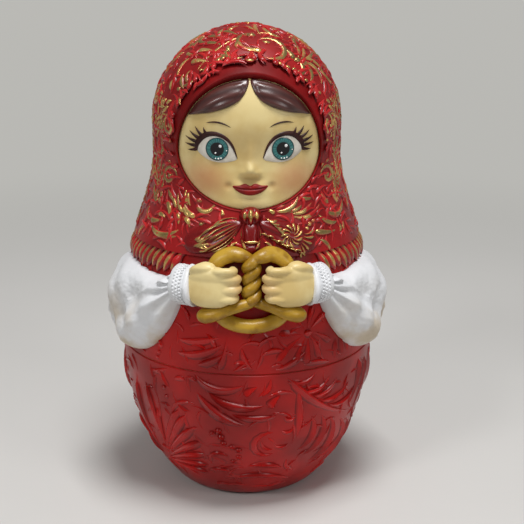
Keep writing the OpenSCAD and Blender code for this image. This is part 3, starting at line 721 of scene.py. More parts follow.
# Painted shade: darker reds for the lip's lacquer
EDGE_RED_PAINTED_SHADE = (0.22, 0.0055, 0.006)
EDGE_DEEP_PAINTED_SHADE = (0.13, 0.0035, 0.004)


def lip_size(angle):
    """Width and height of the lip at an angle of the face's outline."""
    top = 0.5 + 0.5*np.sin(angle)
    return ROLL_W*(0.2 + 0.6*top**3), ROLL_H*(0.63 + 0.5*top**2)


def curve_through(points, parts, closed=True):
    """Smooth curve through given points."""
    count = len(points)
    found = []
    for i in range(count if closed else count - 1):
        near = [(i + k) % count if closed else min(max(i + k, 0), count - 1) for k in (-1, 0, 1, 2)]
        a, b, c, d = (np.array(points[k], float) for k in near)
        for j in range(parts):
            t = j/parts
            found.append(0.5*(2*b + (c - a)*t + (2*a - 5*b + 4*c - d)*t**2 + (3*b - a - 3*c + d)*t**3))
    return found if closed else found + [np.array(points[-1], float)]


def skinned(sections, closed=False):
    """Skin over closed sections of equal count, joined in a ring or with an end face on each end."""
    shape = bmesh.new()
    loops = [closed_loop(shape, section)[1] for section in sections]
    for first, second in zip(loops, loops[1:] + loops[:1] if closed else loops[1:]):
        bmesh.ops.bridge_loops(shape, edges=first + second)
    bmesh.ops.holes_fill(shape, edges=[e for e in shape.edges if e.is_boundary], sides=0)
    bmesh.ops.recalc_face_normals(shape, faces=shape.faces)
    return shape


edge_lacquer_painted_shade = lacquer("scarf_edge_lacquer", EDGE_RED_PAINTED_SHADE, EDGE_DEEP_PAINTED_SHADE, (0.4, 0.56), 0.12)
lip_sections = []
for turn in EDGE_TURNS:
    wide, tall = lip_size(turn)
    lip_sections.append([front_point(*face_edge(turn, wide*a), SEAT_GAP + tall*max(b, 0))
                         for a, b in curve_through(LIP, 2)])
new_piece(skinned(lip_sections, True), "scarf_rolled_edge", "upper_half", edge_lacquer_painted_shade, "red_clay",
          ["scarf_roll"], ROUNDED)


# Gilded ornament of the scarf: feather leaves, scrolls and berries modelled with it and lacquered red.
# Gold is wiped over the crests with a nearly dry brush, so it is bright on the chest and thin on the sides.
GOLD = (0.62, 0.43, 0.14)
OLD_GOLD = (0.3, 0.215, 0.08)
GILT_H = 0.72
SMALL_H = 0.85
OFF_FACE = 9
OFF_LIP = 1.1
OFF_HEM = 0.8


def gilded(name, wear):
    """Red lacquer with worn gold on whatever stands proud, and painted shade of darker red at the foot of
    each stroke.
    """
    finish = new_finish(name, Specular_IOR_Level=0.35)
    rise = kept_value(finish, "rise")
    worn = clouds(finish, 95, wear, wear + 0.1, 5)
    streak = clouds(finish, 520, 0.3, 0.44, 3)
    gold = times(finish, times(finish, stepped(finish, rise, 0.52, 0.86), worn), streak)
    red = tint(finish, clouds(finish, *RED_CLOUDS), SCARF_DEEP, SCARF_RED)
    # Painted shade: the red darkens to half its deep tone where a stroke meets the ground
    red = tint(finish, stepped(finish, rise, 0.02, 0.42), [c*0.5 for c in SCARF_DEEP], red)
    leaf = tint(finish, clouds(finish, 60, 0.4, 0.62, 3), OLD_GOLD, GOLD)
    feed(finish, "Metallic", between(finish, gold, 0, 0.7))
    return coat(finish, tint(finish, gold, red, leaf), (0.18, 0.36), 160, grain(finish, 600, 5), 0.2, 0.2)


gilt = gilded("gilded_lacquer", 0.34)


def from_face(points):
    """How far points lie outside the face's outline, in widths of the lip, and the lip's height there."""
    x, z = points[:, 0], points[:, 2]
    tall = np.where(z > FACE_Z, FOREHEAD_H, CHIN_H)
    share = np.maximum(np.hypot(2*x/FACE_W, (z - FACE_Z)/tall), 0.01)
    wide, height = lip_size(np.arctan2((z - FACE_Z)/tall, 2*x/FACE_W))
    grow = (share - 1)/share*np.hypot(x, z - FACE_Z)
    return np.where(points[:, 1] < 0, grow/wide, OFF_FACE), height


def scarf_ground(points):
    """Height of the scarf's surface over the bare body, with the swelling behind the lip."""
    grow, height = from_face(points)
    return np.maximum(SCARF_T, SEAT_GAP + height*np.interp(grow, *np.array(LIP[5:-1]).T, right=0))


def outside_lip(path, angle, z):
    """The longest stretch of a stroke that stays off the face's lip and above the hem, or nothing."""
    flat = np.array([(u, v, 0) for u, v, half in path])
    points = wrapped(flat, np.full(len(flat), float(angle)), np.full(len(flat), float(z)), SCARF_T)
    return cut_to(path, (from_face(points)[0] > OFF_LIP) & (points[:, 2] > HEM_Z + OFF_HEM))


scarf_layout = []


def put_on_scarf(strokes, angle, z):
    kept = [outside_lip(path, angle, z) for path in strokes]
    scarf_layout.append(([path for path in kept if path], angle, z))


def sprig(strokes, angle, z, turn=0, flip=False):
    """Puts a sprig on the scarf, and its mirror image on the other side."""
    for side, flipped in ((1, flip), (-1, not flip)):
        put_on_scarf(arranged(strokes, side*turn, flipped), side*angle, z)


CROWN_STROKES = [
    (8, 244, -162, 36, 16, 0.9), (-32, 232, 172, 11, 23, 1.9, COMMA), (-30, 236, 157, 11, 39, 1.8, COMMA),
    (-26, 239, 159, 11, 22, 1.7, COMMA), (-19, 241, 153, 16, 9, 1.7, COMMA),
    (-12, 243, 139, 11, 20, 1.6, COMMA), (-24, 237, -85, 9, -19, 1.6, COMMA),
    (-21, 238, -101, 9, 25, 1.5, COMMA), (-17, 240, -142, 7, 99, 1.5, COMMA),
    (-11, 242, -114, 8, 54, 1.5, COMMA), (-20, 238, -114, 15, 163, 1.2),
    (-30, 231, -140, 6, 78, 1.1, COMMA), (-27, 234, -116, 6, 28, 1.2, COMMA), (7, 244, -188, 25, 206, 1.5),
    (-5, 239, -50, 10, 67, 1.9, COMMA), (9, 241, 44, 34, -258, 1.8), (-3, 233, -72, 5, 121, 1.3),
    (30, 247, -125, 14, 38, 1.8, TAIL), (-6, 247, -74, 11, 45, 1.1), (16, 241, -78, 5, 134, 1.3),
    (33, 238, -39, 9, -69, 2.1, COMMA), (42, 232, -63, 10, -98, 1.6), (43, 231, -18, 13, -132, 1.6),
    (44, 231, 4, 18, -117, 1.7), (46, 232, 17, 19, -104, 1.5), (44, 233, 40, 13, 43, 1.3),
    (45, 232, 22, 17, 60, 1.3), (47, 232, 5, 20, 36, 1.2), (46, 246, -159, 14, 122, 1.6),
    (57, 246, -69, 8, -55, 1.2), (13, 244, 14, 15, -66, 1.0), (-51, 226, -96, 9, 70, 1.3),
    (-48, 221, -12, 9, 74, 1.3), (-59, 223, -130, 7, 125, 1.4), (-44, 218, -137, 7, 105, 1.2),
    (-45, 228, -143, 8, 125, 1.2, COMMA), (-59, 246, -63, 10, 12, 1.5, COMMA),
    (-31, 247, -99, 9, 2, 1.6, COMMA), (60, 241, -101, 10, -72, 1.5, TAIL),
    (-40, 240, 200, 12, -60, 1.4, COMMA), (-44, 235, 210, 12, -70, 1.4, COMMA),
    (-54, 233, 230, 12, 60, 1.4), (-62, 236, 120, 12, -70, 1.4), (70, 236, -60, 14, 70, 1.4),
    (62, 228, -80, 14, 60, 1.4)]
CROWN_BERRIES = [
    (4, 243, 2.2), (41, 232, 2.0), (23, 230.5, 1.3), (28, 229, 1.4), (33, 228, 1.4), (37, 227, 1.2),
    (40, 223, 1.2), (21, 240, 1.2), (-1, 233, 1.2), (50, 217, 1.1), (-50, 219, 1.3), (-36, 228, 1.1)]
CHEST_STROKES = [
    (-44, 169, -89, 12, 58, 1.5, COMMA), (-41, 166, -74, 12, 50, 1.5, COMMA),
    (-39, 165, -69, 12, 57, 1.8, COMMA), (-36, 171, -103, 9, 52, 1.1), (-38, 171, -104, 9, 59, 1.1),
    (-30, 166, -98, 16, 201, 1.6), (-16, 163, -46, 4, -52, 1.3, COMMA), (-54, 163, 3, 12, -112, 1.9),
    (-61, 150, -40, 24, 86, 2.0), (-52, 154, -149, 10, -35, 2.0, COMMA), (-58, 155, 33, 8, -68, 1.5),
    (-52, 146, -8, 13, 32, 1.3), (-48, 168, -67, 10, 21, 1.4), (-44, 160, -23, 9, -75, 1.5),
    (-38, 157, 3, 8, -86, 1.6), (-27, 158, -21, 4, -58, 1.0), (-35, 143, 45, 9, -45, 1.3, COMMA),
    (-32, 148, 16, 6, 82, 1.5), (-53, 169, -42, 9, 7, 1.4), (-68, 164, -24, 8, -8, 1.4),
    (-69, 158, -112, 10, 116, 1.5), (-66, 148, -163, 11, 67, 1.4), (13, 163, -6, 6, 54, 1.0),
    (13, 162, -21, 16, 96, 1.5), (20, 161, -6, 9, 48, 1.2), (22, 160, -14, 14, 67, 1.4),
    (22, 159, -29, 20, 84, 1.4), (8, 162, 23, 5, -89, 1.4, COMMA), (34, 150, -17, 16, 21, 2.0, TAIL),
    (39, 158, -62, 16, 75, 1.5), (45, 159, -50, 16, 81, 1.9), (45, 170, -106, 10, 76, 1.8, COMMA),
    (66, 161, -138, 16, -28, 1.5), (28, 169, -60, 9, 85, 1.3), (56, 168, -119, 9, 98, 1.5),
    (53, 151, -46, 5, -94, 1.3), (59, 151, -153, 6, 78, 1.2), (36, 146, -20, 10, -60, 1.4),
    (73, 165, -109, 11, 27, 1.4), (-30, 143, 20, 7, 70, 1.1), (30, 143, 160, 7, -70, 1.1),
    (-70, 170, -80, 10, 60, 1.4)]
CHEST_BERRIES = [
    (-29, 166, 1.7), (32, 154, 1.5), (35, 155, 1.4), (30, 152, 1.2), (-62, 162, 1.2), (-26, 155, 1.1)]
for spot in drawn(CROWN_STROKES + CHEST_STROKES, 11) + berries(CROWN_BERRIES + CHEST_BERRIES):
    put_on_scarf(*spot)
# Sides of the head: feathers and scrolls in turn, row over row from the neck to the crown
for row, z in enumerate((176, 189, 202, 214)):
    for i in range(8):
        angle = 53 + 17*i + (row % 2)*8
        if (row + i) % 2:
            sprig(frond(19, 52, 5, 7.5, 1.3), angle, z - 7, 80 + 11*((row*3 + i*5) % 5), i % 3 == 0)
        else:
            sprig(scroll(5.6, 1.4), angle, z, 67*((row*2 + i) % 6), i % 2 == 0)
        sprig(fan(3, 70, 7, 1.2), angle + 8, z - 5, 40*((row + 2*i) % 5) - 80)
# Shoulders behind the arms and the back of the crown
for i in range(6):
    sprig(frond(22, 48, 6, 8, 1.4), 80 + 18*i, 143, 90, i % 2 == 0)
    sprig(scroll(5.6, 1.4), 88 + 18*i, 163, 60*i)
    sprig(fan(5, 110, 8, 1.3), 88 + 18*i, 145, 10)
    sprig(frond(24, 44, 6, 8, 1.3), 80 + 18*i, 224, 80, i % 2 == 1)
    sprig(scroll(5.5, 1.4), 88 + 18*i, 239, 50*i)
put_on_scarf(flower(8, 8, 1.6), 180, 247)
scarf_relief = embossed(scarf_layout, HALF_ROUND, GILT_H, scarf_ground)
new_piece(scarf_relief, "scarf_gilded_relief", "upper_half", gilt, "red_clay", sharp=SOFT)
# Small strokes between the sprigs, and a row of commas along the rolled edge that lean away from its middle
scarf_layout = []
for spot in filling(low=143, high=247, spacing=5.7, length=11, half=1.2, seed=11):
    put_on_scarf(*spot)
for i in range(24):
    turn = 8 + 7.1*i
    x, z = face_edge(math.radians(turn), 1.3*lip_size(math.radians(turn))[0])
    lean = math.copysign(62 - 30*(i % 2), 90 - turn)
    comma = stroke((0, 0), turn + lean, 11 - 3*(i % 2), -1.6*lean, 1.5, TAIL, 9)
    put_on_scarf([comma], math.degrees(math.asin(x/float(body_r(z)))), z)
small_relief = embossed(scarf_layout, HALF_ROUND, SMALL_H, scarf_ground, (0, 0.34, 0.56, 0.34, 0))
new_piece(small_relief, "scarf_small_relief", "upper_half", gilt, "red_clay", sharp=SOFT)


# Fringe: slanted strands side by side below the hem, modelled with the scarf, with a line of gold along each.
# It begins beside the sleeves and runs round the back.
FRINGE_L = 10.5
FRINGE_START = 33
STRANDS = 66
STRAND_H = 0.9
STRAND_LIFT = 0.7
fringe_gilt = gilded("gilded_fringe_lacquer", 0.4)
fringe_layout = []
for i in range(STRANDS):
    angle = FRINGE_START + 1.5 + (360 - 2*FRINGE_START - 3)*i/(STRANDS - 1)
    side = 1 - 2*i/(STRANDS - 1)
    drop = stroke((0, 0), 270 + 33*side, FRINGE_L + 3.2 - 0.9*(i % 3), -12*side, 2.7, LEAF, 9)
    drop = [(u, v, max(half, 1.7 if v > -9.4 else 0.2)) for u, v, half in drop]
    fringe_layout.append(([drop], angle, HEM_Z + STRAND_LIFT))
fringe = embossed(fringe_layout, HALF_ROUND, STRAND_H, STRAND_LIFT, (0, 0.3, 0.95, 0.45, 0))
new_piece(fringe, "scarf_fringe_strands", "upper_half", fringe_gilt, "red_clay", ["scarf_fringe"], SOFT)


# Knot and ends of the scarf: the cloth passes through a short pleated loop under the chin and spreads in two
# lobes with a tongue between them. All are modelled in clay; pleats and chased lines catch most of the gold.
SIDES = ((1, "left"), (-1, "right"))
CHASED_H = 0.85
KNOT_Z = FACE_Z - CHIN_H - ROLL_W/2
KNOT_W = 11.4
KNOT_H = 8.8
TAIL_L = 31
TAIL_W = 12.4
TAIL_TURN = math.radians(-24)


def disc_grid(shape, cells):
    """Corners of a new square grid, each with the place it takes on a round disc of radius 1."""
    for vert in bmesh.ops.create_grid(shape, x_segments=cells, y_segments=cells, size=1)["verts"]:
        x, y = vert.co.x, vert.co.y
        yield vert, x*math.sqrt(1 - y*y/2), y*math.sqrt(1 - x*x/2)


def cushion(edge, middle, place, rise, cells=24, back=0.0):
    """Swollen form on a carrying surface: a grid drawn out to a closed edge, and a back on the surface."""
    shape = bmesh.new()
    layer = shape.verts.layers.float.new("rise")
    count = len(edge)
    for front in (True, False):
        for vert, x, y in disc_grid(shape, cells):
            share = min(1, math.hypot(x, y))
            along = (math.atan2(y, x) % (2*math.pi))/(2*math.pi)*count
            i, t = int(along) % count, along - int(along)
            p = middle + (edge[i]*(1 - t) + edge[(i + 1) % count]*t - middle)*share
            up = rise(p, share)*math.sqrt(1 - share**2.4) if front or share > 0.9999 else back
            vert[layer] = up
            vert.co = place(p[0], p[1], up)
    close_up(shape)
    return shape


def gild_by_height(shape, low, high):
    """Rewrites the rise of a cushion so that the gold takes on its crests and the finish's painted shade on
    its low parts.
    """
    layer = shape.verts.layers.float["rise"]
    for vert in shape.verts:
        vert[layer] = min(1, max(0, (vert[layer] - low)/(high - low)))


def laid_strokes(paths, place, height):
    """Tapered strokes on a carrying surface, from flat paths of width, height and half width."""
    shape = bmesh.new()
    layer = shape.verts.layers.float.new("rise")
    for path in paths:
        loops = []
        for i, (x, z, half) in enumerate(path):
            before, after = path[max(i - 1, 0)], path[min(i + 1, len(path) - 1)]
            ahead = Vector((after[0] - before[0], after[1] - before[1])).normalized()
            crest = height*min(1, half/0.35)
            verts, edges = closed_loop(shape, [
                place(x - ahead.y*half*across, z + ahead.x*half*across, crest*up - 0.08)
                for across, up in HALF_ROUND])
            for vert, (across, up) in zip(verts, HALF_ROUND):
                vert[layer] = up
            loops.append(edges)
        for first, second in zip(loops, loops[1:]):
            bmesh.ops.bridge_loops(shape, edges=first + second)
    bmesh.ops.holes_fill(shape, edges=[e for e in shape.edges if e.is_boundary], sides=len(HALF_ROUND))
    bmesh.ops.recalc_face_normals(shape, faces=shape.faces)
    return shape


def share_in(edge, middle, p):
    """How far out a point lies, from 0 in the middle of a closed edge to 1 on it."""
    spokes = np.array(edge) - middle
    turns = np.arctan2(spokes[:, 1], spokes[:, 0])
    order = np.argsort(turns)
    reach = np.interp(math.atan2(p[1] - middle[1], p[0] - middle[0]), turns[order],
                      np.hypot(*spokes.T)[order], period=2*math.pi)
    return min(1, math.hypot(*(p - middle))/reach)


def scarf_lift(z):
    return SCARF_T*math.sqrt(1 + float(slope(z))**2) + SEAT_GAP


def on_scarf(x, z, lift):
    return front_point(x, z, scarf_lift(z) + lift)


def on_lip(x, z, lift):
    return front_point(x, z, lip_size(-math.pi/2)[1] + lift)


def sided(place, side):
    """The same place on the doll's left, or mirrored to its right."""
    if side > 0:
        return place
    return lambda x, z, lift: Vector((-1, 1, 1))*place(x, z, lift)


knot_edge = [np.array((KNOT_W/2*math.cos(a)*(0.85 + 0.15*math.cos(a)**2), KNOT_Z + KNOT_H/2*math.sin(a)))
             for a in [2*math.pi*i/48 for i in range(48)]]


def knot_rise(p, share):
    pleats = 0.8*math.cos(2*math.pi*3.5*p[0]/KNOT_W)
    under = 1.3/(1 + math.exp((p[1] - KNOT_Z + 0.4)/0.35))
    return 4.0 + pleats - under


bright_gilt = gilded("bright_gilded_lacquer", 0.18)
knot = cushion(knot_edge, np.array((0, KNOT_Z)), on_lip, knot_rise, 40, -1.0)
gild_by_height(knot, 2.3, 3.5)
new_piece(knot, "scarf_knot_loop", "upper_half", bright_gilt, "red_clay", ["scarf_knot"], SOFT)

along_tail = np.array((math.cos(TAIL_TURN), math.sin(TAIL_TURN)))
over_tail = np.array((-along_tail[1], along_tail[0]))
tail_start = np.array((KNOT_W*0.36, KNOT_Z - ROLL_W/2 - 0.75))
tail_edge = [tail_start + p[0]*TAIL_L*along_tail + p[1]*TAIL_W*over_tail for p in curve_through(
    [(0, 0), (0.3, -0.42), (0.72, -0.5), (1, -0.2), (0.95, 0.3), (0.6, 0.5), (0.25, 0.34)], 8)]
tail_middle = tail_start + TAIL_L*0.55*along_tail


def tail_rise(p, share):
    out = (p - tail_start) @ along_tail/TAIL_L
    off = (p - tail_start) @ over_tail/TAIL_W
    return 2.0 + 0.3*math.cos(2*math.pi*off/(0.2 + 0.25*max(out, 0)))


def on_tail(x, z, lift):
    p = np.array((x, z))
    share = share_in(tail_edge, tail_middle, p)
    return on_scarf(x, z, tail_rise(p, share)*math.sqrt(1 - share**2.4) + lift)


# Chased lines: on the left end a rosette and a chain of leaves, on the right end bows one inside the other
ROSETTE = [stroke((1.1*math.cos(a), 1.1*math.sin(a)), math.degrees(a) + 10, 5.4, 85, 0.75, COMMA, 8)
           for a in [2*math.pi*i/11 for i in range(11)]]
CHASED = {
    "left": [[(17.5 + u, 0.6 + v, half) for u, v, half in path] for path in ROSETTE]
    + [stroke((2 + 1.9*i, 3.4 - 0.2*i), -20 - 9*i, 6.5, 60, 0.75, COMMA, 8) for i in range(5)]
    + [stroke((3 + 2.6*i, -4.2 - 0.2*i), 30 + 20*(i % 2), 5, -80, 0.7, LEAF, 8) for i in range(9)]
    + [stroke((23.5, 0.7 + 1.3*i), 10*i - 5, 5.8, 18*i, 0.75, COMMA, 8) for i in (-3, -2, -1, 0, 1, 2)],
    "right": [stroke((1.5 + 0.4*i, 3.0 - 0.85*i), 34 - 10*i, 14 + 2*(3*i % 4), -62 + 15*i, 0.6 + 0.15*(i % 2),
                     COMMA, 10) for i in range(8)]
    + [stroke((17 + 1.3*(i % 3), -4.2 + 1.5*i), 44 - 16*i, 8.5 - 0.5*i, -64 + 20*i, 0.8, COMMA, 8)
       for i in range(6)]
    + [stroke((20, -4.6), -14 + 26*i, 5.5, 40, 0.75, COMMA, 8) for i in range(3)]}
for side, name in SIDES:
    tail = cushion(tail_edge, tail_middle, sided(on_scarf, side), tail_rise, 40)
    gild_by_height(tail, 2.3, 3.4)
    new_piece(tail, "scarf_end_" + name, "upper_half", gilt, "red_clay", ["scarf_tail_" + name], SOFT)
    paths = [[(*(tail_start + u*along_tail + v*over_tail), half) for u, v, half in path]
             for path in CHASED[name]]
    lines = laid_strokes(paths, sided(on_tail, side), CHASED_H)
    new_piece(lines, "scarf_end_lines_" + name, "upper_half", bright_gilt, "red_clay", sharp=SOFT)

TONGUE_TOP = KNOT_Z - KNOT_H*0.42
tongue_edge = [np.array((x, TONGUE_TOP + z)) for x, z in curve_through(
    [(-2.8, 0), (2.8, 0), (3.5, -6), (3.1, -13), (0, -14.5), (-3.1, -13), (-3.5, -6)], 6)]
tongue_middle = np.array((0, TONGUE_TOP - 7))


def tongue_rise(p, share):
    return 3.0 - 1.2*math.exp(-((p[1] - TONGUE_TOP + 9.5)/0.9)**2)


tongue = cushion(tongue_edge, tongue_middle, on_scarf, tongue_rise, 28)
gild_by_height(tongue, 6, 7)
new_piece(tongue, "scarf_tongue", "upper_half", gilt, "red_clay", sharp=SOFT)
TRIM = [stroke((-3.4, -8.0), 0, 7.6, 0, 0.9, LEAF),
        stroke((-4.6, -3), -100, 9, 50, 0.9, COMMA), stroke((4.6, -3), -80, 9, -50, 0.9, COMMA),
        stroke((-4.4, -12), 200, 6, -40, 0.9, COMMA), stroke((4.4, -12), -20, 6, 40, 0.9, COMMA),
        stroke((-6.5, -8.5), 190, 6, 60, 0.8, LEAF), stroke((6.5, -8.5), -10, 6, -60, 0.8, LEAF)]
trim = laid_strokes([[(u, TONGUE_TOP + v, half) for u, v, half in path] for path in TRIM],
                    lambda x, z, lift: on_scarf(x, z, lift + (2.4 if abs(x) < 4.2 else 0.3)), CHASED_H)
new_piece(trim, "scarf_tongue_trim", "upper_half", bright_gilt, "red_clay", sharp=SOFT)


# Face: modelled in clay with full cheeks, a button nose and a soft chin, painted a warm ivory.
# Blush is sponged on the cheeks, painted shade and a brown wash lie in the hollows, painted highlights on
# forehead and nose, and a satin varnish covers it all.
SKIN = (0.63, 0.46, 0.18)
SKIN_PALE_AND_HIGHLIGHT = (0.73, 0.59, 0.28)
SKIN_SHADE = (0.3, 0.17, 0.05)
BLUSH = (0.5, 0.19, 0.085)
NOSE_Z = FACE_Z - CHIN_H*0.28
MOUTH_Z = FACE_Z - CHIN_H*0.62
EYE_X = FACE_W*0.228
EYE_Z = FACE_Z + FOREHEAD_H*0.07
CHEEK_X = FACE_W*0.25
CHEEK_Z = FACE_Z - CHIN_H*0.44
CHIN_Z = FACE_Z - CHIN_H*0.85


def hump(x, z, wide, tall):
    return math.exp(-(x/wide)**2 - (z/tall)**2)


def face_lift(x, z):
    """Height of the face above the head: the shell of the face with nose, cheeks, chin and eye hollows."""
    tall = FOREHEAD_H if z > FACE_Z else CHIN_H
    share = min(1, math.hypot(2*x/FACE_W, (z - FACE_Z)/tall))
    bridge = 1.2*hump(x, z - NOSE_Z - 6, 2.4, 6)
    nose = 3.8*hump(x, z - NOSE_Z, 3.0, 3.4) + 1.1*hump(abs(x) - 3.4, z - NOSE_Z + 1.4, 1.7, 1.6)
    under_nose = -1.2*hump(x, z - NOSE_Z + 4.8, 5, 1.3)
    cheeks = 1.3*hump(abs(x) - CHEEK_X, z - CHEEK_Z, 9.5, 8.5)
    mouth = 0.9*hump(x, z - MOUTH_Z, 9.5, 4.2) - 0.7*hump(abs(x) - 10.6, z - MOUTH_Z - 1.4, 1.7, 1.7)
    chin = 1.1*hump(x, z - CHIN_Z, 8, 4.4) - 0.7*hump(x, z - MOUTH_Z + 4.8, 6, 1.5)
    hollow = -0.9*hump(abs(x) - EYE_X + 2, z - EYE_Z, 9, 6.5)
    return (SEAT_GAP + 1.5 + 1.5*math.sqrt(1 - share**4) + bridge + nose + under_nose + cheeks + mouth + chin
            + hollow*(1 - share**2))


def on_face(x, z, lift):
    return front_point(x, z, face_lift(x, z) + lift)


def patch(finish, middle, radii):
    """Round soft-edged mark on the front of the doll, 1 in its middle."""
    moved = add(finish, "Mapping", {"Vector": own_place(finish), "Scale": tuple(1/(r*MM) for r in radii),
                                    "Location": tuple(-m/r for m, r in zip(middle, radii))}).outputs[0]
    far = add(finish, "VectorMath", {0: moved}, operation="LENGTH").outputs["Value"]
    return stepped(finish, far, 1, 0.1)


def painted_skin(name, marks):
    """Ivory paint with soft-edged marks over it (blush, painted shade, painted highlights, as given), brush
    grain and a satin varnish.
    """
    finish = new_finish(name, Coat_Weight=0.15, Coat_Roughness=0.25, Specular_IOR_Level=0.35)
    colour = tint(finish, clouds(finish, 45, 0.38, 0.62), SKIN, SKIN_PALE_AND_HIGHLIGHT)
    for middle, radii, strength, mark in marks:
        mottled = times(finish, patch(finish, middle, radii), between(finish, grain(finish, 260), 0.8, 1.1))
        colour = tint(finish, times(finish, mottled, strength), colour, mark)
    return coat(finish, colour, (0.34, 0.5), 180, grain(finish, 650, 5), 0.12, 0.15)


# Pale marks on forehead, nose and beside the nose are painted highlights; brown marks round the eyes, under
# nose and lip, at the mouth corners and on the chin are painted shade, with a brown wash in the eye hollows;
# blush marks are the cheeks' own paint
# Each mark: its middle, its radii, its strength and its colour
FRONT_Y = -HEAD_R
face_marks = [((0, FRONT_Y, FACE_Z + 24), (26, 40, 12), 0.7, SKIN_PALE_AND_HIGHLIGHT),
              ((0, FRONT_Y, EYE_Z + 2), (11, 40, 15), 0.42, SKIN_SHADE),
              ((0, FRONT_Y, NOSE_Z - 5.4), (8, 30, 3.4), 0.5, SKIN_SHADE),
              ((0, FRONT_Y, MOUTH_Z - 5.6), (9, 30, 3), 0.4, SKIN_SHADE),
              ((0, FRONT_Y - 6, NOSE_Z + 2), (3, 30, 4), 0.6, SKIN_PALE_AND_HIGHLIGHT),
              ((0, FRONT_Y, CHIN_Z - 4), (16, 40, 6), 0.35, SKIN_SHADE)]
for side in (1, -1):
    face_marks += [((side*EYE_X, FRONT_Y, EYE_Z + 2), (17, 40, 13), 0.3, SKIN_SHADE),
                   ((side*10.8, FRONT_Y, MOUTH_Z + 1.6), (3.6, 30, 2.8), 0.55, SKIN_SHADE),
                   ((side*(CHEEK_X + 5), FRONT_Y, CHEEK_Z - 1), (18, 60, 14), 0.68, BLUSH),
                   ((side*9, FRONT_Y, NOSE_Z + 0.5), (5, 40, 3), 0.5, SKIN_PALE_AND_HIGHLIGHT)]
face_paint = painted_skin("face_paint", face_marks)
face = bmesh.new()
for front in (True, False):
    for vert, x, y in disc_grid(face, 88):
        width, height = FACE_W/2*x, FACE_Z + (FOREHEAD_H if y > 0 else CHIN_H)*y
        on_edge = math.hypot(x, y) > 0.9995
        vert.co = on_face(width, height, 0) if front or on_edge else front_point(width, height, SEAT_GAP)
close_up(face)
new_piece(face, "face", "upper_half", face_paint, "skin", ["face_plate"], ROUNDED)


# Eyes: painted almonds with a domed iris, varnished to a wet gloss.
# Whites, irises and the light spots are layers of enamel on the face.
IRIS_R = 5.6
IRIS_RISE = 0.6
WHITE_RISE = 0.8
EYE_WHITE = (0.68, 0.64, 0.57)
EYE_SHADE = (0.56, 0.51, 0.43)
TEAL = (0.012, 0.085, 0.09)
PALE_TEAL = (0.06, 0.22, 0.21)
IRIS_RIM = (0.008, 0.03, 0.034)
PUPIL = (0.004, 0.004, 0.005)
EYE_OUTLINE = [(9.9, -0.9), (8.2, 3.6), (3.0, 6.4), (-2.4, 6.2), (-6.4, 2.6), (-9.8, -4.2), (-5.8, -6.2),
               (0, -6.5), (5.4, -5.0)]
# Each light: across and up from the middle of the iris, and its radius
EYE_LIGHTS = [(1.5, 1.5, 0.75), (-0.8, -1.9, 0.4), (0.6, -4.6, 0.42), (1.9, -4.3, 0.4), (-0.8, -4.5, 0.32),
              (4.6, -0.6, 0.3)]


def enamel(name, dark, light, gloss):
    """Glossy enamel with a cloudy tone."""
    finish = new_finish(name, Coat_Weight=0.05, Coat_Roughness=gloss, Specular_IOR_Level=0.22)
    colour = tint(finish, clouds(finish, 160, 0.35, 0.65), dark, light)
    return coat(finish, colour, (gloss, gloss + 0.14), 300, grain(finish, 500), 0.08, 0.1)


def iris_finish():
    """Rings of the iris by the piece's own attributes: pupil, pale middle, dark rim, and fine rays."""
    finish = new_finish("iris_enamel", Coat_Weight=0.3, Coat_Roughness=0.06, Specular_IOR_Level=0.3)
    ring = kept_value(finish, "ring")
    rays = add(finish, "TexNoise", {"W": kept_value(finish, "ray"), "Scale": 9, "Detail": 3},
               noise_dimensions="1D").outputs["Fac"]
    colour = tint(finish, stepped(finish, rays, 0.35, 0.65), TEAL, PALE_TEAL)
    colour = tint(finish, stepped(finish, ring, 0.86, 0.98), colour, IRIS_RIM)
    colour = tint(finish, stepped(finish, ring, 0.64, 0.56), colour, PUPIL)
    feed(finish, "Base Color", colour)
    feed(finish, "Roughness", between(finish, rays, 0.1, 0.2))
    return finish


eye_white = enamel("eye_white_enamel", EYE_SHADE, EYE_WHITE, 0.16)
light_spot = enamel("light_spot_enamel", (0.74, 0.76, 0.76), (0.88, 0.88, 0.86), 0.12)
iris_enamel = iris_finish()


def disc(radius, middle, place, rise, rings=10, parts=48):
    """Domed round piece with its ring and ray as attributes."""
    shape = bmesh.new()
    bmesh.ops.create_circle(shape, cap_ends=True, cap_tris=True, segments=parts, radius=1)
    bmesh.ops.subdivide_edges(shape, edges=[e for e in shape.edges if not e.is_boundary], cuts=rings)
    ring_layer = shape.verts.layers.float.new("ring")
    ray_layer = shape.verts.layers.float.new("ray")
    for vert in shape.verts:
        share = min(1, math.hypot(vert.co.x, vert.co.y))
        vert[ring_layer] = share
        vert[ray_layer] = math.atan2(vert.co.y, vert.co.x)
        across, up = middle[0] + radius*vert.co.x, middle[1] + radius*vert.co.y
        vert.co = place(across, up, rise*math.sqrt(1 - share**2) + 0.05)
    bmesh.ops.recalc_face_normals(shape, faces=shape.faces)
    return shape


def joined(whole, part):
    """Adds one shape to another; the part is used up."""
    mesh = bpy.data.meshes.new("joining")
    part.to_mesh(mesh)
    part.free()
    whole.from_mesh(mesh)
    bpy.data.meshes.remove(mesh)


def on_eye_white(x, z, lift):
    return on_face(x, z, WHITE_RISE + lift)


def on_iris(x, z, lift):
    share = min(1, math.hypot(x - EYE_X, z - EYE_Z)/IRIS_R)
    return on_eye_white(x, z, IRIS_RISE*math.sqrt(1 - share**2) + lift)


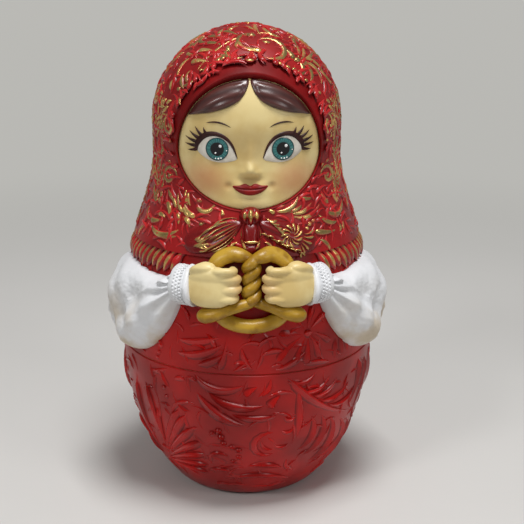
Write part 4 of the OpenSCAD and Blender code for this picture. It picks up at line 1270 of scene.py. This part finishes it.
eye_edge = [np.array((EYE_X + x, EYE_Z + z)) for x, z in curve_through(EYE_OUTLINE, 8)]
for side, name in SIDES:
    white = cushion(eye_edge, np.array((EYE_X, EYE_Z)), sided(on_face, side), lambda p, share: 0.85, 28, -0.3)
    new_piece(white, "eye_white_" + name, "upper_half", eye_white, "eye_glass")
    iris = disc(IRIS_R, (EYE_X, EYE_Z), sided(on_eye_white, side), IRIS_RISE)
    new_piece(iris, "eye_iris_" + name, "upper_half", iris_enamel, "eye_glass", ["eye_" + name], ROUNDED)
    lights = bmesh.new()
    for x, z, radius in EYE_LIGHTS:
        joined(lights, disc(radius, (EYE_X + side*x, EYE_Z + z), sided(on_iris, side), 0.15, 2, 16))
    new_piece(lights, "eye_lights_" + name, "upper_half", light_spot, "eye_glass")


# Lid lines, lashes and brows: single strokes of dark brown, laid on thick so that they stand up a little.
# The lid line swells towards the outer corner, and the lashes fan out from there.
INK = (0.02, 0.0045, 0.004)
INK_LIGHT = (0.045, 0.011, 0.009)
ink = enamel("dark_brown_ink", INK, INK_LIGHT, 0.36)
# Lid line: across and up from the middle of the iris, and half width; lashes: root and tip in the same way
LID = [(-9.8, -4.4, 0.2), (-8.7, -1.2, 0.45), (-7.2, 2.0, 0.7), (-4.5, 5.0, 1.0), (-1, 6.8, 1.2),
       (2.6, 7.2, 1.35), (5.8, 6.3, 1.5), (8.4, 4.0, 1.6), (9.9, 1.4, 1.25), (10.0, -0.8, 0.5)]
LASHES = [(9.4, -0.4, 14.4, -1.5), (10.0, 1.0, 15.8, 1.8), (9.8, 2.8, 15.4, 5.2), (8.6, 4.6, 13.4, 8.0),
          (7.0, 5.8, 10.6, 10.4), (5.0, 6.6, 6.6, 10.2)]
BROW_START = (EYE_X - 6.8, EYE_Z + 10.6)
for side, name in SIDES:
    paths = [[(EYE_X + x, EYE_Z + z, half) for x, z, half in curve_through(LID, 4, False)]]
    for x, z, tip_x, tip_z in LASHES:
        chord = math.degrees(math.atan2(tip_z - z, tip_x - x))
        length = math.hypot(tip_x - x, tip_z - z)*1.03
        paths.append(stroke((EYE_X + x, EYE_Z + z), chord - 15, length, 30, 0.95, TAIL, 8))
    lashes = laid_strokes(paths, sided(on_face, side), 0.8)
    new_piece(lashes, "lashes_strokes_" + name, "upper_half", ink, "ink", ["lashes_" + name], ROUNDED)
    brow = laid_strokes([stroke(BROW_START, 34, 12.8, -52, 0.48, LEAF, 12)], sided(on_face, side), 0.5)
    new_piece(brow, "brow_stroke_" + name, "upper_half", ink, "ink", ["brow_" + name], ROUNDED)


# Lips: a small bow-shaped mouth modelled in the face and painted dark red with a soft gloss.
# The line between them is a groove.
LIP_RED = (0.25, 0.005, 0.0035)
LIP_DEEP = (0.17, 0.004, 0.003)
MOUTH_W = FACE_W*0.124
lip_paint = enamel("lip_paint", LIP_DEEP, LIP_RED, 0.4)
mouth_edge = [np.array((x*MOUTH_W, MOUTH_Z + z*MOUTH_W)) for x, z in curve_through(
    [(1, 0.15), (0.62, 0.2), (0.28, 0.3), (0, 0.19), (-0.28, 0.3), (-0.62, 0.2), (-1, 0.15), (-0.6, -0.2),
     (0, -0.34), (0.6, -0.2)], 6)]


def mouth_rise(p, share):
    line = MOUTH_Z + MOUTH_W*(0.1*(p[0]/MOUTH_W)**2)
    return 1.2 - 0.7*math.exp(-((p[1] - line)/0.4)**2)


mouth = cushion(mouth_edge, np.array((0, MOUTH_Z)), on_face, mouth_rise, 36, -0.3)
new_piece(mouth, "mouth", "upper_half", lip_paint, "lip_red", ["lips"], ROUNDED)


# Hair: two smooth locks parted in the middle, from the parting along the rolled edge to the temples.
# They are modelled in clay with combed grooves and painted a glossy dark brown.
HAIR = (0.04, 0.008, 0.0065)
HAIR_LIGHT = (0.12, 0.033, 0.026)
HAIR_T = 2.6


def combed_hair():
    """Glossy paint, lighter on the crests of the combed grooves."""
    finish = new_finish("combed_hair_paint", Coat_Weight=0.35, Coat_Roughness=0.25)
    strand = times(finish, kept_value(finish, "rise"), grain(finish, 130))
    colour = tint(finish, strand, HAIR, HAIR_LIGHT)
    return coat(finish, colour, (0.26, 0.42), 200, grain(finish, 500, 4), 0.1, 0.12)


def comb(x, z):
    """Phase of the combed grooves, which run along the lower edge of the lock."""
    return 62*math.hypot(x/(FACE_W/2)*0.8, (z - FACE_Z)/FOREHEAD_H - 0.1)


def lock_rise(p, share):
    rim = 0.5*math.exp(-((share - 0.86)/0.05)**2)
    return HAIR_T + 0.16*math.sin(comb(*p)) - rim


hair_paint = combed_hair()
brim = [face_edge(math.radians(89 - 8.2*i)) for i in range(8)]
brim = [(x*0.99, FACE_Z + (z - FACE_Z)*0.99) for x, z in brim]
fall = [(x*FACE_W/2, FACE_Z + z*FOREHEAD_H) for x, z in [
    (0.85, 0.5), (0.72, 0.525), (0.56, 0.55), (0.4, 0.595), (0.26, 0.65), (0.13, 0.735), (0.035, 0.87)]]
lock_edge = curve_through(brim + fall, 5)[::-1]
lock_middle = np.array((FACE_W*0.25, FACE_Z + FOREHEAD_H*0.71))
for side, name in SIDES:
    lock = cushion(lock_edge, lock_middle, sided(on_face, side), lock_rise, 60, -0.3)
    layer = lock.verts.layers.float["rise"]
    for vert in lock.verts:
        vert[layer] = 0.5 + 0.5*math.sin(comb(vert.co.x, vert.co.z))
    new_piece(lock, "hair_lock_" + name, "upper_half", hair_paint, "hair", ["hair_" + name], ROUNDED)


# Pretzel: one rope of dough, twisted round itself in the middle, its ends pressed on its own bow.
# It is modelled in clay on the dress and painted a glazed ochre, browner in blotches.
CRUST = (0.32, 0.17, 0.008)
CRUST_PALE = (0.48, 0.29, 0.03)
CRUST_BROWN = (0.2, 0.085, 0.004)
HAND_Z = 130
HAND_W = 8.3
PRETZEL_H = 17.3
PRETZEL_W = PRETZEL_H*1.243
PRETZEL_Z = HAND_Z - HAND_W*0.48
ROPE_D = PRETZEL_H*0.393
TWIST_D = 5.0
TWIST_R = 2.2
END_D = ROPE_D*0.84
ROPE_LOW = ROPE_D/2 + SEAT_GAP
TWIST_LIFT = SEAT_GAP + TWIST_D/2 + TWIST_R
ON_BOW = ROPE_D + SEAT_GAP + END_D*0.5
HEM_STEP = 7.5


def cover(z):
    """How much what lies on the dress steps up over the scarf's hem."""
    return scarf_lift(z)*min(1, max(0, (z - HEM_Z + HEM_STEP)/(HEM_STEP - 1)))


def arm_point(angle, z, lift):
    """Point at an angle from the front and a height, over dress or scarf."""
    r = float(body_r(z)) + lift + cover(z)
    a = math.radians(angle)
    return Vector((r*math.sin(a), -r*math.cos(a), z))


def half_rope(turn):
    """Half of the rope from its end over the twist and round its bow to the bottom.
    Each point is across, up, lift and diameter."""
    twist = []
    for i in range(15):
        a = math.radians(45*i + 45)
        lift = TWIST_LIFT + turn*TWIST_R*math.sin(a)
        twist.append((-TWIST_R*math.cos(a), PRETZEL_H*(0.088*i - 0.3), lift, TWIST_D))
    w, h = PRETZEL_W*0.87, PRETZEL_H
    end = [(-w*1.14, -h*0.69, ON_BOW - 2, END_D*0.9), (-w*1.05, -h*0.64, ON_BOW - 0.9, END_D*1.3),
           (-w*0.82, -h*0.56, ON_BOW, END_D*1.14),
           (-w*0.5, -h*0.42, ON_BOW*0.5 + TWIST_LIFT*0.5 + turn*TWIST_R*0.4, END_D*1.02)]
    bow = [(-w*0.26, h*1.0, max(ROPE_LOW, TWIST_LIFT - turn*TWIST_R*0.5), ROPE_D*0.95),
           (-w*0.52, h*1.02, ROPE_LOW, ROPE_D*1.1), (-w*0.82, h*0.87, ROPE_LOW, ROPE_D*1.1),
           (-w, h*0.52, ROPE_LOW, ROPE_D), (-w, h*0.05, ROPE_LOW, ROPE_D),
           (-w*0.9, -h*0.45, ROPE_LOW, ROPE_D), (-w*0.56, -h*0.86, ROPE_LOW, ROPE_D)]
    return end + twist + bow


def rope_sections(path, place, sides=18):
    """Round sections along a path of across, up, lift and diameter, with rounded ends."""
    centres = [Vector(p[:3]) for p in path]
    sections = []
    for i, p in enumerate(path):
        ahead = (centres[min(i + 1, len(path) - 1)] - centres[max(i - 1, 0)]).normalized()
        across = ahead.cross(Vector((0, 0, 1))).normalized()
        up = ahead.cross(across)
        near_end = min(i, len(path) - 1 - i)
        r = float(p[3])/2*((0.35, 0.75, 0.94)[near_end] if near_end < 3 else 1)
        turns = [2*math.pi*j/sides for j in range(sides)]
        sections.append([place(centres[i] + r*math.cos(t)*across + r*math.sin(t)*up) for t in turns])
    return sections


def glazed_crust():
    """Glazed ochre paint with paler and browner blotches over an uneven crust."""
    finish = new_finish("glazed_crust", Coat_Weight=0.12, Coat_Roughness=0.2, Specular_IOR_Level=0.3)
    colour = tint(finish, clouds(finish, 85, 0.35, 0.66, 5), CRUST, CRUST_PALE)
    colour = tint(finish, clouds(finish, 110, 0.5, 0.8, 5), colour, CRUST_BROWN)
    return coat(finish, colour, (0.26, 0.46), 150, grain(finish, 260, 6, (1, 1, 1.6)), 0.5, 0.6)


crust = glazed_crust()
other_half = [(-x, z, lift, d) for x, z, lift, d in half_rope(-1)[::-1]]
rope_path = half_rope(1) + [(0, -PRETZEL_H, ROPE_LOW, ROPE_D)] + other_half
to_degrees = math.degrees(1/float(body_r(PRETZEL_Z)))
pretzel = skinned(rope_sections(curve_through(rope_path, 6, False),
                                lambda p: arm_point(p.x*to_degrees, PRETZEL_Z + p.y, p.z)))
new_piece(pretzel, "pretzel_rope", "upper_half", crust, "crust", ["pretzel"], ROUNDED)


# Hands: fists closed over the pretzel from both sides, four fingers each, modelled in clay.
# They are painted the same ivory as the face, with a little blush on the fingers.
HAND_T = 7.4
HAND_L = PRETZEL_W*1.056
FIST_TIP = PRETZEL_W*0.437/2
HAND_BASE = ROPE_D + 3*SEAT_GAP
HAND_END = FIST_TIP + HAND_L
ARM_R = float(body_r(HAND_Z))
SLANT = 0.16
FIST_VOXEL = 0.45
FIST_SMOOTHING = 4
# Each finger: its height over the middle of the fist, how far back its tip starts, its thickness
FINGERS = [(7.4, 1.1, 4.5), (3.2, -0.4, 4.8), (-1.3, -0.5, 4.8), (-5.7, 0.5, 4.6)]
# Back of the hand and ball of the thumb: half length, half height, half thickness, reach, height, lift
PALMS = [(10.6, 9.8, 5.4, 12.8, -0.8, -2.4), (5.5, 4, 3.6, 16, 7.2, -2.4)]
hand_paint = painted_skin("hand_paint", [((0, -ARM_R - 13, HAND_Z), (17, 30, 12), 0.35, BLUSH)])


def on_arm(reach, z, lift):
    return arm_point(math.degrees(reach/ARM_R), z, lift)


def fused(shape, voxel, smoothing):
    """One skin over overlapping forms."""
    obj = as_object(shape, "fusing")
    remesh = obj.modifiers.new("skin", "REMESH")
    remesh.mode = "VOXEL"
    remesh.voxel_size = voxel
    smooth = obj.modifiers.new("soft", "SMOOTH")
    smooth.iterations = smoothing
    smooth.factor = 0.5
    return worked_out(obj)


for side, name in SIDES:
    fist = bmesh.new()
    place = sided(on_arm, side)
    high = HAND_BASE + HAND_T*0.66
    for up, back, thick in FINGERS:
        tip, z = FIST_TIP + back, HAND_Z + up
        path = [(tip + 3.2, z, HAND_BASE - 1, thick*0.8), (tip + 2.1, z, HAND_BASE + 1.6, thick*0.92),
                (tip + 3.0, z, high - 0.5, thick), (tip + 5.5, z, high + 0.3, thick),
                (FIST_TIP + 9, HAND_Z + up*0.97, high, thick),
                (FIST_TIP + 13, HAND_Z + up*0.85, high - 1.5, thick)]
        joined(fist, skinned(rope_sections(curve_through(path, 6, False), lambda p: place(*p))))
    for long, tall, thick, reach, up, lift in PALMS:
        for vert in bmesh.ops.create_icosphere(fist, subdivisions=5, radius=1)["verts"]:
            x, y, z = (math.copysign(abs(c)**0.74, c) for c in vert.co)
            wrist = max(0, x)
            height = HAND_Z + up - 1.5*wrist + y*(tall - 1.3*wrist)
            across = FIST_TIP + reach + long*x + SLANT*wrist*(height - HAND_Z)
            vert.co = place(across, height, high + lift + z*(thick - 1.3*wrist))
    fist = fused(fist, FIST_VOXEL, FIST_SMOOTHING)
    new_piece(fist, "fist_" + name, "upper_half", hand_paint, "skin", ["hand_" + name], ROUNDED)


# Cuffs: a smooth band at the wrist and a band of lace behind it, modelled as rows of small knots.
# Sleeves: full shirt sleeves gathered into the cuff, painted white with a soft sheen, with cream painted
# shade low on the arm.
CLOTH_WHITE = (0.7, 0.71, 0.73)
CLOTH_PAINTED_SHADE = (0.52, 0.43, 0.31)
CUFF_L = 6.4
CUFF_W = HAND_W*1.13
CUFF_START = HAND_END + SEAT_GAP
CUFF_END = CUFF_START + CUFF_L
CUFF_Z = HAND_Z - HAND_W*0.31
CUFF_T = HAND_BASE + HAND_T*0.95
SLEEVE_LOW = SEAM_Z + 3
SLEEVE_TOP = HEM_Z - FRINGE_L - 2*SEAT_GAP
SLEEVE_T = 9.5
cuff_angle = math.degrees((CUFF_END + SEAT_GAP)/ARM_R)
SLEEVE_OUTLINE = [(6, 0.385), (17, 0.09), (31, 0), (51, 0.09), (66, 0.32), (70, 0.61), (66, 0.91), (51, 0.99),
                  (33, 0.99), (19, 0.966), (8, 0.99)]
PAINTED_SHADE_START = 126
PAINTED_SHADE_FULL = 90
LACE_KNOT_R = 0.85
LACE_KNOTS = 18
LACE_ROWS = (2.6, 4.0, 5.4)


def white_cloth(name, weave, depth):
    """White paint over modelled cloth: cream painted shade in blotches low on the arm, a soft sheen and a
    fine weave.
    """
    finish = new_finish(name, Sheen_Weight=0.1, Sheen_Roughness=0.4)
    height = add(finish, "SeparateXYZ", {0: own_place(finish)}).outputs["Z"]
    # Painted shade: cream blotches that grow towards the bottom of the arm
    low = stepped(finish, height, PAINTED_SHADE_START*MM, PAINTED_SHADE_FULL*MM)
    cloud = times(finish, low, clouds(finish, 60, 0.36, 0.66))
    colour = tint(finish, cloud, CLOTH_WHITE, CLOTH_PAINTED_SHADE)
    return coat(finish, colour, (0.36, 0.55), 220, grain(finish, weave, 6), 0.3, depth)


sleeve_cloth = white_cloth("white_sleeve", 260, 0.9)
lace = white_cloth("white_lace", 1200, 0.3)


def cuff_arch(turn, size):
    """Height on the arm and lift of a cuff's round back, over half a turn."""
    return CUFF_Z - CUFF_W*size*math.cos(turn), SEAT_GAP + CUFF_T*size*(0.16 + 0.84*math.sin(turn))


def band(low, high, place, full):
    """Half-round band across the arm between two reaches."""
    sections = []
    for t, share in ((0, 0.9), (0.12, 1.0), (0.5, 1.03), (0.88, 1.0), (1, 0.9)):
        section = [cuff_arch(math.pi*j/28, share*full) for j in range(29)]
        section += [(CUFF_Z + CUFF_W*share*full*f, SEAT_GAP) for f in (0.5, 0, -0.5)]
        sections.append([place(low + (high - low)*t + SLANT*(z - HAND_Z), z, lift) for z, lift in section])
    return skinned(sections)


def sleeve_rise(p, share):
    """Fullness of the sleeve: thick at the cuff, gathers that fan out from it, slack creases further out."""
    out = p[0] - cuff_angle
    ray = math.atan2(p[1] - CUFF_Z, out + 2)
    full = SLEEVE_T + (CUFF_T - SLEEVE_T - 0.6)*math.exp(-(out/15)**2)
    gathers = 1.6*math.sin(16*ray)*math.exp(-((out - 7)/8)**2)
    creases = 1.7*math.sin(8*ray + 0.06*out + 0.8)*math.exp(-((out - 22)/14)**2)
    slack = 1.0*math.sin(0.2*out + 0.16*(p[1] - CUFF_Z) + 1.3) + 0.8*math.sin(0.34*out - 0.3*(p[1] - CUFF_Z))
    spot = Vector((1.2*p[0], p[1], 0))
    knobs = 0.9*noise.noise(spot*0.13) + 0.45*noise.noise(spot*0.34) + 0.22*noise.noise(spot*0.8)
    return full + gathers + creases + slack + knobs


outer = [(cuff_angle + a, SLEEVE_LOW + share*(SLEEVE_TOP - SLEEVE_LOW)) for a, share in SLEEVE_OUTLINE]
cuff_side = [(cuff_angle, CUFF_Z + CUFF_W*0.75), (cuff_angle, CUFF_Z - CUFF_W*0.3)]
sleeve_edge = curve_through([(cuff_angle, CUFF_Z - CUFF_W)] + outer + cuff_side, 6)
sleeve_edge = [np.array((max(p[0], cuff_angle - 0.4), p[1])) for p in sleeve_edge][::-1]
sleeve_middle = np.array((cuff_angle + 33, (SLEEVE_LOW + SLEEVE_TOP)/2))
for side, name in SIDES:
    place = sided(on_arm, side)
    wrist = band(CUFF_START - 1.4, CUFF_START + 1.3, place, 1.05)
    cuff = band(CUFF_START + 1.2, CUFF_END + 2.2, place, 0.985)
    for row, reach in enumerate(LACE_ROWS):
        for j in range(LACE_KNOTS):
            z, lift = cuff_arch(math.pi*(j + 0.5*(row % 2) + 0.4)/(LACE_KNOTS + 0.6), 0.99)
            middle = place(CUFF_START + reach + SLANT*(z - HAND_Z), z, lift)
            bmesh.ops.create_icosphere(cuff, subdivisions=1, radius=LACE_KNOT_R,
                                       matrix=Matrix.Translation(middle))
    new_piece(wrist, "cuff_band_" + name, "upper_half", lace, "white_cloth", sharp=SOFT)
    new_piece(cuff, "cuff_lace_" + name, "upper_half", lace, "white_cloth", ["cuff_" + name], ROUNDED)
    sleeve = cushion(sleeve_edge, sleeve_middle, sided(arm_point, side), sleeve_rise, 96, 0.3)
    new_piece(sleeve, "shirt_sleeve_" + name, "upper_half", sleeve_cloth, "white_cloth", ["sleeve_" + name],
              ROUNDED)


# Smaller dolls: the same turned body at smaller sizes, each in two halves with a spigot, the last one solid.
# They are lacquered red, bare inside, and carry the outer doll's face, hair and rolled scarf edge in small.
NEST_RATIO = 0.76
NEST_STEP = 5
FACE_PIECES = ["face", "mouth", "scarf_rolled_edge"]
for side, name in SIDES:
    FACE_PIECES += [part + name for part in (
        "eye_white_", "eye_iris_", "eye_lights_", "lashes_strokes_", "brow_stroke_", "hair_lock_")]
SMALL_INSIDE = 1
SMALL_RED = (0.42, 0.012, 0.011)
small_lacquer = lacquer("small_doll_lacquer", SMALL_RED, DEEP_RED)
for k in range(2, 6):
    size, foot = NEST_RATIO**(k - 1), FLOOR_T + NEST_STEP*(k - 2)
    for node in ["doll_5"] if k == 5 else [f"doll_{k}_lower", f"doll_{k}_upper"]:
        mesh = frame["nodes"][node].data
        mesh.materials.clear()
        mesh.materials.append(small_lacquer)
        mesh.materials.append(wood)
        for side in mesh.polygons:
            x, y, z = (side.center/MM - Vector((0, 0, foot)))/size
            side.material_index = int(depth_inside(math.hypot(x, y), z) > SMALL_INSIDE)
    # The face's marks are moved and shrunk to the smaller face, painted highlights and painted shade among
    # them
    small_marks = [((x*size, y*size, z*size + foot), [r*size for r in radii], strength, mark)
                   for (x, y, z), radii, strength, mark in face_marks]
    small_face_paint = painted_skin(f"doll_{k}_face_paint", small_marks)
    for name in FACE_PIECES:
        pattern = bpy.data.objects[name]
        mesh = pattern.data.copy()
        mesh.transform(Matrix.Translation((0, 0, foot*MM)) @ Matrix.Scale(size, 4))
        if name == "face":
            mesh.materials[0] = small_face_paint
        copy = bpy.data.objects.new(f"doll_{k}_{name}", mesh)
        bpy.context.scene.collection.objects.link(copy)
        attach(copy, "doll_5" if k == 5 else f"doll_{k}_top")
        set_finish(copy, pattern["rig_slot"])


# Table top, lamps and camera: a plain pale floor, soft light from the front and above, the photograph's view.
# Places and sizes in this section are metres, and nothing here is part of the doll.
def pale_floor():
    """Matt floor that fades to an even grey away from the doll, where the camera or a reflection sees it."""
    finish = new_finish("pale_floor", Roughness=0.6, Emission_Color=(0.46, 0.455, 0.43, 1))
    far = add(finish, "VectorMath", {0: own_place(finish)}, operation="LENGTH").outputs["Value"]
    ray = add(finish, "LightPath").outputs
    seen = ray["Is Camera Ray"]
    for kind in ("Is Glossy Ray", "Is Transmission Ray"):
        seen = add(finish, "Math", {0: seen, 1: ray[kind]}, operation="MAXIMUM").outputs[0]
    fade = times(finish, stepped(finish, far, 0.25, 0.9), seen)
    matt = tint(finish, grain(finish, 6), (0.58, 0.57, 0.55), (0.62, 0.61, 0.59))
    feed(finish, "Base Color", tint(finish, fade, matt, (0, 0, 0)))
    feed(finish, "Emission Strength", fade)
    return finish


FLOOR_REACH = 12
floor_shape = bmesh.new()
bmesh.ops.create_grid(floor_shape, x_segments=1, y_segments=1, size=FLOOR_REACH)
floor = as_object(floor_shape, "floor")
floor.data.materials.append(pale_floor())

world = bpy.data.worlds.new("studio")
bpy.context.scene.world = world
world.use_nodes = True
world.node_tree.nodes["Background"].inputs["Color"].default_value = (0.62, 0.61, 0.6, 1)
world.node_tree.nodes["Background"].inputs["Strength"].default_value = 0.34


def lamp(name, place, aim, size, power):
    """Square soft lamp that looks at a point."""
    light = bpy.data.lights.new(name, "AREA")
    light.size = size
    light.energy = power
    obj = bpy.data.objects.new(name, light)
    obj.location = place
    obj.rotation_euler = (Vector(aim) - Vector(place)).to_track_quat("-Z", "Y").to_euler()
    bpy.context.scene.collection.objects.link(obj)


lamp("ceiling", (0.1, -0.25, 1.3), (0, 0, 0.1), 0.4, 13.5)
lamp("window", (-0.9, -0.9, 1.1), (0, 0, 0.13), 0.3, 5.5)
lamp("fill", (1.1, -0.9, 0.9), (0, 0, 0.13), 0.45, 3.5)

# The camera's place, tilt, lens and shift are fitted to the doll's outline in the photograph
VIEW_TURN = math.radians(-2)
VIEW_TILT = math.radians(73.45)
DISTANCE = 0.5495
VIEW_Z = 0.2843
camera_data = bpy.data.cameras.new("camera")
camera_data.lens = 71.13
camera_data.sensor_width = 36
camera_data.shift_x = 0.0292
camera = bpy.data.objects.new("camera", camera_data)
camera.location = (DISTANCE*math.sin(VIEW_TURN), -DISTANCE*math.cos(VIEW_TURN), VIEW_Z)
camera.rotation_euler = (VIEW_TILT, 0, VIEW_TURN)
bpy.context.scene.collection.objects.link(camera)
bpy.context.scene.camera = camera
